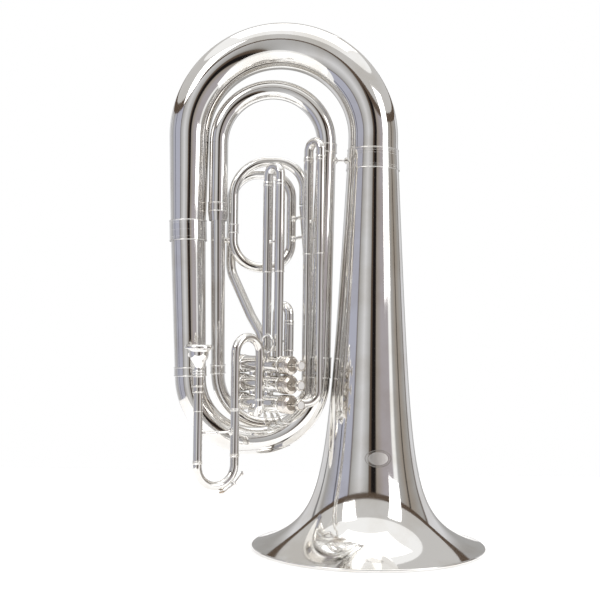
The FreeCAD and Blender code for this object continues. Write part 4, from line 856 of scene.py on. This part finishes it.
def make_leadpipe():
    receiver = Piece()
    slope = (SHANK_TOP - SHANK_END) / (RECEIVER_TOP - shank_end)
    bore = SHANK_TOP + 0.04
    marks = []
    for share in (0.06, 0.3, 0.72, 0.83, 0.94):
        for i in range(9):
            angle = math.pi * i / 8
            marks.append((RECEIVER_RADIUS + 1.1 * math.sin(angle),
                          RECEIVER_LENGTH * share - RECEIVER_BEAD * math.cos(angle)))
    receiver.lathe([(bore - slope * RECEIVER_LENGTH, 0), (RECEIVER_RADIUS, 0)] + marks
                   + [(RECEIVER_RADIUS, RECEIVER_LENGTH), (bore, RECEIVER_LENGTH)],
                   receiver_foot, UP, 80)
    silver(receiver, "receiver", ["mouthpiece_receiver"])
    one_tube("leadpipe", bent([receiver_foot, leadpipe_foot]), LEADPIPE_RADIUS, 0.6, 56)
    sleeves = Piece()
    for foot, length in ((mouth + UP * TUNING_LEFT_FOOT, leadpipe_foot.z - TUNING_LEFT_FOOT),
                         (right_axis + UP * TUNING_RIGHT_FOOT,
                          TUNING_RIGHT_TOP - TUNING_RIGHT_FOOT)):
        sleeve(sleeves, foot, UP, TUNING_LEG + 0.05, length, TUNING_SLEEVE - TUNING_LEG - 0.05,
               48, engraved=both_ends(length, 3))
    silver(sleeves, "tuning_sleeves", ["tuning_slide_sleeves"])
    rise, elbow_start = LEAD_CROOK_TOP - LEAD_CROOK_RADIUS, ELBOW_HEIGHT + ELBOW_RISE
    half = (crook_right - right_axis).length / 2
    one_tube("leadpipe_crook",
             bent([right_axis + UP * TUNING_RIGHT_TOP, right_axis + UP * rise,
                   crook_right + UP * rise, crook_right + UP * elbow_start], [half, half]),
             between(LEAD_CROOK_RADIUS - 0.2, LEAD_CROOK_RADIUS), 0.6, 56)
    corner = crook_right + UP * ELBOW_HEIGHT
    mouth_point = on_valve(3, ELBOW_STATION)
    bend_point = corner + ELBOW_TURN
    inset = (bend_point - mouth_point).normalized() * (CASING_RADIUS - 1.2)
    one_tube("leadpipe_elbow",
             bent([crook_right + UP * elbow_start, corner, bend_point, mouth_point + inset],
                  [ELBOW_BEND, ELBOW_BEND]), LEAD_CROOK_RADIUS, 0.6, 56)


bow_left, bow_right = mouth + UP * TUNING_BOW_HEIGHT, right_axis + UP * TUNING_BOW_HEIGHT
bow_centre = (bow_left + bow_right) / 2
bow_bend = (bow_left - bow_right).length / 2
bow_across = (bow_right - bow_left).normalized()
bow_normal = bow_across.cross(UP)


def by_bow(angle, distance, aside=0):
    """A point outside the hanging bow, by its angle below the right leg."""
    turn = math.radians(angle)
    outward = bow_across * math.cos(turn) - UP * math.sin(turn)
    return bow_centre + outward * (bow_bend + distance) + bow_normal * aside


seat_way = (by_bow(KEY_SEAT_ANGLE, 1) - by_bow(KEY_SEAT_ANGLE, 0)).normalized()
pivot_distance = TUNING_BOW + PIVOT_HEIGHT
pivot = by_bow(KEY_PIVOT_ANGLE, pivot_distance)
post_shift = BARREL_LENGTH / 2 + KEY_GAP + POST_RADIUS


def make_tuning_slide():
    piece = Piece()
    stops = [mouth + UP * (TUNING_LEFT_FOOT - STOP_GAP),
             right_axis + UP * (TUNING_RIGHT_FOOT - STOP_GAP)]
    low = bow_centre.z - bow_bend
    corners = [Vector((p.x, p.y, low)) for p in stops]
    piece.tube(bent([stops[0] - UP, *corners, stops[1] - UP], [bow_bend, bow_bend], 3),
               TUNING_BOW, None, 56)
    for stop in stops:
        piece.lathe([(TUNING_LEG - 0.5, -1), (TUNING_LEG, -1), (TUNING_LEG, TUNING_LEGS - 0.3),
                     (TUNING_LEG - 0.5, TUNING_LEGS)], stop, UP, 48)
        edge = TUNING_BOW + RING_WALL
        piece.lathe([(TUNING_LEG, 0), (edge - 0.5, 0), (edge, 0.6), (edge - 0.4, 1.5),
                     (edge, 2.2), (edge - 0.4, 3), (TUNING_BOW, RING_LENGTH), (TUNING_LEG,
                                                                             RING_LENGTH)],
                    stop, -UP, 56)
    piece.lathe([(NIPPLE_RADIUS / 2, TUNING_BOW - 1), (NIPPLE_RADIUS + 2.2, TUNING_BOW - 0.7),
                 (NIPPLE_RADIUS + 0.8, TUNING_BOW + 0.4), (NIPPLE_RADIUS, TUNING_BOW + 1.4),
                 (NIPPLE_RADIUS - 0.3, TUNING_BOW + NIPPLE_HEIGHT), (NIPPLE_RADIUS / 2,
                                                       TUNING_BOW + NIPPLE_HEIGHT)],
                by_bow(KEY_SEAT_ANGLE, 0), seat_way, 40)
    for side in (-1, 1):
        rounded_rod(piece, by_bow(KEY_PIVOT_ANGLE, 1, side * post_shift),
                    by_bow(KEY_PIVOT_ANGLE, pivot_distance + POST_RADIUS * 0.9,
                           side * post_shift), POST_RADIUS)
    rounded_rod(piece, pivot - bow_normal * (post_shift + POST_RADIUS + 0.5),
                pivot + bow_normal * (post_shift + POST_RADIUS + 0.5), PIN_RADIUS)
    silver(piece, "tuning_slide_bow", ["main_tuning_slide"], "tuning_slide")


def make_water_key():
    nipple_top = TUNING_BOW + NIPPLE_HEIGHT
    cork = Piece()
    r, t = CORK_RADIUS, CORK_THICKNESS
    cork.lathe([(0, 0), (r - 0.3, 0), (r, 0.3), (r, t - 0.05), (0, t - 0.05)],
               by_bow(KEY_SEAT_ANGLE, nipple_top + KEY_FIT), seat_way, 40, closed=False)
    cork.make("key_cork", "water_key", ["water_key_cork"], "cork", [CORK])

    lever = Piece()
    outer = r + KEY_FIT + CUP_WALL
    lever.lathe([(r + KEY_FIT, 0), (outer - 0.2, 0), (outer, 0.25), (outer, t / 2),
                 (outer - 0.5, t / 2 + CUP_WALL), (0, t / 2 + CUP_WALL + 0.5), (0, t / 2),
                 (r + KEY_FIT, t / 2)],
                by_bow(KEY_SEAT_ANGLE, nipple_top + KEY_FIT + t / 2), seat_way, 48,
                closed=False)
    cup_top = by_bow(KEY_SEAT_ANGLE, nipple_top + KEY_FIT + t) + seat_way * ARM_RADIUS
    touch_way = (by_bow(KEY_PIVOT_ANGLE, 0) - by_bow(KEY_SEAT_ANGLE, 0)).normalized()
    touch_end = pivot + (touch_way + UP * 0.5).normalized() * TOUCH_LENGTH
    lever.tube(bent([cup_top, pivot, touch_end], [9], 4), lambda s: ARM_RADIUS * (1.15 - 0.2
               * math.sin(math.pi * s)), None, 24)
    half = BARREL_LENGTH / 2
    lever.lathe([(PIN_RADIUS + KEY_FIT, 0), (BARREL_RADIUS - 0.2, 0), (BARREL_RADIUS, 0.2),
                 (BARREL_RADIUS, BARREL_LENGTH - 0.2), (BARREL_RADIUS - 0.2, BARREL_LENGTH),
                 (PIN_RADIUS + KEY_FIT, BARREL_LENGTH)], pivot - bow_normal * half,
                bow_normal, 40)
    level = touch_end - bow_centre
    face = Vector((level.x, level.y, 0)).normalized()
    pad = ARM_RADIUS * 3
    lever.lathe([(0, 0), (pad - 0.8, 0.1), (pad - 0.1, 0.5), (pad, 0.9), (pad - 0.3, 1.4),
                 (pad - 1.2, 1.55), (0, 1.2)], touch_end, face, 40, closed=False)
    silver(lever, "key_lever", ["water_key_lever"], "water_key", FITTING)

    spring, coil = Piece(), []
    start = pivot - bow_normal * (half - 0.6)
    side = bow_normal.orthogonal().normalized()
    over = bow_normal.cross(side)
    for i in range(61):
        angle = 2 * math.pi * 2 * i / 60
        coil.append(start + bow_normal * (1.8 * i / 60)
                    + (side * math.cos(angle) + over * math.sin(angle)) * (BARREL_RADIUS + 0.75))
    spring.tube(coil, 0.35, None, 12)
    silver(spring, "key_spring", ["water_key_spring"], "water_key", STEEL, "spring_steel")


# ---- thumb ring, braces and small ferrules ----

def make_thumb_ring():
    front = -(RING_SLEEVE + RING_WIRE + RING_GAP)
    station = RING_STATION - front
    rise = CASING_RADIUS + RING_BORE + 2 * RING_WIRE + RING_POST
    centre, foot = on_valve(1, station, front, rise), on_valve(1, station, front)
    piece = Piece()
    radius = RING_BORE + RING_WIRE
    rows = []
    for i in range(72):
        around = 2 * math.pi * i / 72
        out = UP * math.cos(around) + VALVE_AXIS * math.sin(around)
        rows.append([centre + out * (radius + RING_WIRE * math.cos(2 * math.pi * j / 24))
                     + VALVE_BACK * (RING_WIRE * math.sin(2 * math.pi * j / 24))
                     for j in range(24)])
    piece.grid(rows, True)
    low = math.sqrt(CASING_RADIUS ** 2 - front ** 2) - RING_SINK
    high = rise - RING_BORE - RING_WIRE
    piece.lathe([(0, low), (RING_WIRE + 1.6, low), (RING_WIRE + 0.7, low + 2.2),
                 (RING_WIRE, low + 4.5), (RING_WIRE, high - 2.4), (RING_WIRE + 0.7, high),
                 (0, high)], foot, UP, 32, closed=False)
    silver(piece, "thumb_ring_wire", ["thumb_ring"])


def along(first, last, height):
    return first + (last - first) * ((height - first.z) / (last.z - first.z))


def taper(start, end, first, last, height):
    return start + (end - start) * (height - first.z) / (last.z - first.z)


def on_inner_bow(share):
    centre = (inner_left_foot + inner_right_foot) / 2
    across = (inner_right_foot - inner_left_foot).normalized()
    angle = math.pi * share
    point = centre - across * (inner_bottom_bend * math.cos(angle)) \
        - UP * (inner_bottom_bend * math.sin(angle))
    return point, across * math.sin(angle) - UP * math.cos(angle)


def make_braces():
    bell_stay, height = Piece(), BELL_STAY_HEIGHT
    brace(bell_stay, (along(right_foot, right_top, height), UP,
                      taper(BOTTOM_BOW_RIGHT_RADIUS, RIGHT_TOP_RADIUS, right_foot, right_top,
                            height)),
          (at(0, 0, height), UP, bell_radius(height - 6) + 1.9))
    silver(bell_stay, "bell_stay", ["bell_brace"])

    stays, left_leg = Piece(), third_centre - VALVE_AXIS * SLIDE_HALF
    for height in SLIDE_STAY_HEIGHTS:
        brace(stays, (at(COIL_RIGHT, COIL_DEPTH + COIL_PITCH, height), UP, COIL_RADIUS),
              (Vector((left_leg.x, left_leg.y, height)), UP, SLEEVE))
    silver(stays, "slide_stays", ["slide_braces"])

    stays, height = Piece(), TUNING_RIGHT_FOOT + SLEEVE_STAY_RISE
    brace(stays, (mouth + UP * height, UP, TUNING_SLEEVE),
          (right_axis + UP * height, UP, TUNING_SLEEVE))
    brace(stays, (mouth + UP * (leadpipe_foot.z + BODY_STAY_RISE), UP, LEADPIPE_RADIUS),
          (along(left_joint, left_foot, BODY_STAY_HEIGHT), UP,
           taper(LEFT_JOINT_RADIUS, BOTTOM_BOW_LEFT_RADIUS, left_joint, left_foot,
                 BODY_STAY_HEIGHT)))
    side = (LEAD_CROOK_DEPTH - VALVE_DEPTH) * 0.7071 - 1.4
    brace(stays, (crook_right + UP * on_valve(2, 0).z, UP, LEAD_CROOK_RADIUS),
          (on_valve(2, side), VALVE_AXIS, CASING_RADIUS))
    silver(stays, "leadpipe_stays", ["leadpipe_braces"])

    stays = Piece()
    for station, share in ((0, 0.5), (15, 0.55), (28, 0.59)):
        point, heading = on_inner_bow(share)
        brace(stays, (on_valve(3, station, 0, -STAY_DROP), VALVE_AXIS, CASING_RADIUS
                      - STAY_DROP + 2), (point, heading, INNER_BOTTOM_RADIUS - 0.4))
    silver(stays, "valve_stays", ["valve_braces"])

    stays, height = Piece(), COIL_STAY_HEIGHT
    brace(stays, (along(reducer, inner_left_foot, height), UP,
                  taper(INNER_LOWER_RADIUS, INNER_BOTTOM_RADIUS, reducer, inner_left_foot,
                        height)),
          (at(COIL_LEFT, COIL_DEPTH, height), UP, COIL_RADIUS))
    silver(stays, "coil_stay", ["coil_brace"])


def make_ferrules():
    piece = Piece()
    elbow = crook_right + UP * (ELBOW_HEIGHT + ELBOW_RISE - ELBOW_BEND / 2)
    for point in (elbow, right_axis + UP * TUNING_RIGHT_TOP):
        sleeve(piece, point, UP, LEAD_CROOK_RADIUS + FERRULE_GAP, RING_LENGTH, RING_WALL, 56)
    way = (right_top - right_foot).normalized()
    for point, axis, bore in (
            (right_top - way * SMALL_FERRULE, way, RIGHT_TOP_RADIUS + 6 * FERRULE_GAP),
            (inner_left_foot, reducer - inner_left_foot, INNER_BOTTOM_RADIUS + 2 * FERRULE_GAP),
            (inner_right_foot, coil_start - inner_right_foot,
             INNER_RIGHT_RADIUS + 2 * FERRULE_GAP),
            (at(COIL_LEFT, COIL_DEPTH, COIL_COLLAR_HEIGHT), UP, COIL_RADIUS + FERRULE_GAP),
            (outlet_start - UP * OUTLET_COLLAR_DROP, UP, COIL_RADIUS + 0.5)):
        sleeve(piece, point, axis, bore, SMALL_FERRULE, segments=64,
               engraved=both_ends(SMALL_FERRULE, 4))
    silver(piece, "small_ferrules", ["tube_ferrules"])


# ---- carried-over nodes ----

def dress_cad():
    """Pistons and springs keep their own shape and get a finished metal."""
    for number in (1, 2, 3):
        for name, material in ((f"piston_{number}", NICKEL), (f"valve_spring_{number}", STEEL)):
            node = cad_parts[name]
            node.data.materials.clear()
            node.data.materials.append(material)


# ---- stage ----

FLOOR_SIDE, FLOOR_DROP = 0.9, 0.0005


def make_stage():
    """A pale floor just under the rim."""
    floor = bpy.data.meshes.new("floor")
    side, drop = FLOOR_SIDE, -FLOOR_DROP
    floor.from_pydata([(-side, -side, drop), (side, -side, drop), (side, side, drop),
                       (-side, side, drop)], [], [(0, 1, 2, 3)])
    plane = add_object("floor", floor)
    material, tree, shader = new_material("pale_floor")
    tone = ramp(tree, noise(tree, 3), [(0.3, (0.93, 0.93, 0.93)), (0.7, (0.96, 0.96, 0.96))])
    tree.links.new(tone, shader.inputs["Base Color"])
    shader.inputs["Roughness"].default_value = 0.6
    shader.inputs["Emission Color"].default_value = (1, 1, 1, 1)
    shader.inputs["Emission Strength"].default_value = 0.3
    floor.materials.append(material)


# What stands round the studio, as shares of a turn: 0 and 1 lie behind the camera, 0.25 to the
# left of the picture, 0.5 behind the object and 0.75 to the right.
WHITE, PALE, LILAC, GREY = (1, 1, 1), (0.72, 0.72, 0.74), (0.46, 0.47, 0.56), (0.40, 0.395, 0.39)
MAUVE, BEIGE, BROWN = (0.42, 0.39, 0.41), (0.35, 0.31, 0.27), (0.11, 0.08, 0.06)
DARK, COVE = (0.012, 0.01, 0.01), (0.60, 0.59, 0.58)
ROOM_RADIUS, ROOM_SIDES, ROOM_HEIGHTS = 5, 96, (-2.5, 2.4, 2.9, 6.0)
STUDIO = [
    (0.000, BROWN), (0.006, GREY), (0.060, PALE), (0.120, GREY), (0.126, BROWN), (0.134, LILAC),
    (0.215, LILAC), (0.222, DARK), (0.230, LILAC), (0.300, GREY), (0.330, PALE),
    (0.345, DARK), (0.352, PALE), (0.420, PALE), (0.450, GREY), (0.560, GREY),
    (0.590, PALE), (0.640, PALE), (0.648, BROWN), (0.662, GREY),
    (0.735, BEIGE), (0.742, DARK), (0.752, BEIGE), (0.800, GREY), (0.812, WHITE),
    (0.832, WHITE), (0.840, MAUVE), (0.905, MAUVE), (0.950, BEIGE), (0.958, DARK),
    (0.984, DARK), (0.990, BROWN),
]


def unlit(name):
    """A material that only glows, with its tree and the socket for its colour."""
    material = bpy.data.materials.new(name)
    material.use_nodes = True
    tree = material.node_tree
    tree.nodes.clear()
    glow = add_node(tree, "Emission")
    add_node(tree, "OutputMaterial", Surface=glow.outputs["Emission"])
    return material, tree, glow.inputs["Color"]


def make_room():
    """A round wall of panels, a rail and a cove to reflect; the camera looks through it."""
    material, tree, colour = unlit("studio_panels")
    place = add_node(tree, "TexCoord").outputs["Object"]
    split = add_node(tree, "SeparateXYZ", Vector=place)
    turn = maths(tree, "ARCTAN2", split.outputs["X"], split.outputs["Y"])
    tree.links.new(ramp(tree, span(tree, turn, 0, 1, -math.pi, math.pi), STUDIO), colour)
    rail, _, rail_colour = unlit("studio_rail")
    rail_colour.default_value = (*BROWN, 1)
    cove, _, cove_colour = unlit("studio_cove")
    cove_colour.default_value = (*COVE, 1)
    mesh = bpy.data.meshes.new("studio_wall")
    points, faces = [], []
    for i in range(ROOM_SIDES):
        angle = 2 * math.pi * i / ROOM_SIDES
        for height in ROOM_HEIGHTS:
            points.append((ROOM_RADIUS * math.cos(angle), ROOM_RADIUS * math.sin(angle), height))
    rows = len(ROOM_HEIGHTS)
    for i in range(ROOM_SIDES):
        a, b = rows * i, rows * ((i + 1) % ROOM_SIDES)
        faces += [(a + k, b + k, b + k + 1, a + k + 1) for k in range(rows - 1)]
    mesh.from_pydata(points, [], faces)
    for band in (material, rail, cove):
        mesh.materials.append(band)
    for index, polygon in enumerate(mesh.polygons):
        polygon.material_index = index % (rows - 1)
    wall = add_object("studio_wall", mesh)
    wall.visible_camera = False
    wall.visible_shadow = False


def make_world():
    """Plain white all round."""
    world = bpy.data.worlds.new("studio")
    bpy.context.scene.world = world
    world.use_nodes = True
    background = world.node_tree.nodes["Background"]
    background.inputs["Color"].default_value = (1, 1, 1, 1)
    background.inputs["Strength"].default_value = 1.0


def area_light(name, place, aim, width, height, power):
    light = bpy.data.lights.new(name, "AREA")
    light.shape = "RECTANGLE"
    light.size, light.size_y, light.energy = width, height, power
    lamp = add_object(name, light)
    lamp.location = place
    lamp.rotation_mode = "QUATERNION"
    lamp.rotation_quaternion = (Vector(aim) - Vector(place)).to_track_quat("-Z", "Y")


CAMERA_PLACE, LENS, LENS_SHIFT = (22.65, -1700, 341.57), 62.17, (-0.0446, 0.052)


def make_camera():
    """Level with the valves, a little to the left of the bell, as the picture is taken."""
    yaw, pitch, roll = -0.02916, -0.0059, 0.01311
    forward = Vector((math.sin(yaw) * math.cos(pitch), math.cos(yaw) * math.cos(pitch),
                      -math.sin(pitch)))
    right = Vector((math.cos(yaw), -math.sin(yaw), 0))
    over = right.cross(forward)
    side = right * math.cos(roll) + over * math.sin(roll)
    top = over * math.cos(roll) - right * math.sin(roll)
    data = bpy.data.cameras.new("camera")
    data.sensor_width, data.lens = 36, LENS
    data.shift_x, data.shift_y = LENS_SHIFT
    camera = add_object("camera", data)
    place = at(*CAMERA_PLACE) * MM
    camera.matrix_world = Matrix((
        (side.x, top.x, -forward.x, place.x),
        (side.y, top.y, -forward.y, place.y),
        (side.z, top.z, -forward.z, place.z),
        (0, 0, 0, 1)))
    bpy.context.scene.camera = camera


make_camera()
bpy.context.scene.view_settings.view_transform = "Standard"
make_stage()
make_room()
make_world()
area_light("key_light", (-1.6, -1.8, 2.2), (0, 0, 0.4), 1.2, 1.2, 14)
area_light("fill_light", (1.9, -1.2, 1.4), (0, 0, 0.4), 1.0, 1.4, 9)
area_light("top_light", (0, 0.3, 2.8), (0, 0, 0.4), 2.2, 2.2, 16)
make_bell()
make_badge()
make_outer_loop()
make_inner_loop()
make_coil()
make_guard("top_guard", "top_bow_guard", top_path, top_radius, 0.30, 0.71,
           at(TOP_BOW_SPAN / 2, 0, top_axis - TOP_BOW_SPAN / 2), 62)
make_guard("bottom_guard", "bottom_bow_guard", bottom_path,
           between(BOTTOM_BOW_LEFT_RADIUS, BOTTOM_BOW_RIGHT_RADIUS), 0.42, 0.66,
           (left_foot + right_foot) / 2, 55)
make_valves()
make_buttons()
for valve in (1, 2, 3):
    make_slide(valve)
make_mouthpiece()
make_leadpipe()
make_tuning_slide()
make_water_key()
make_thumb_ring()
make_braces()
make_ferrules()
dress_cad()
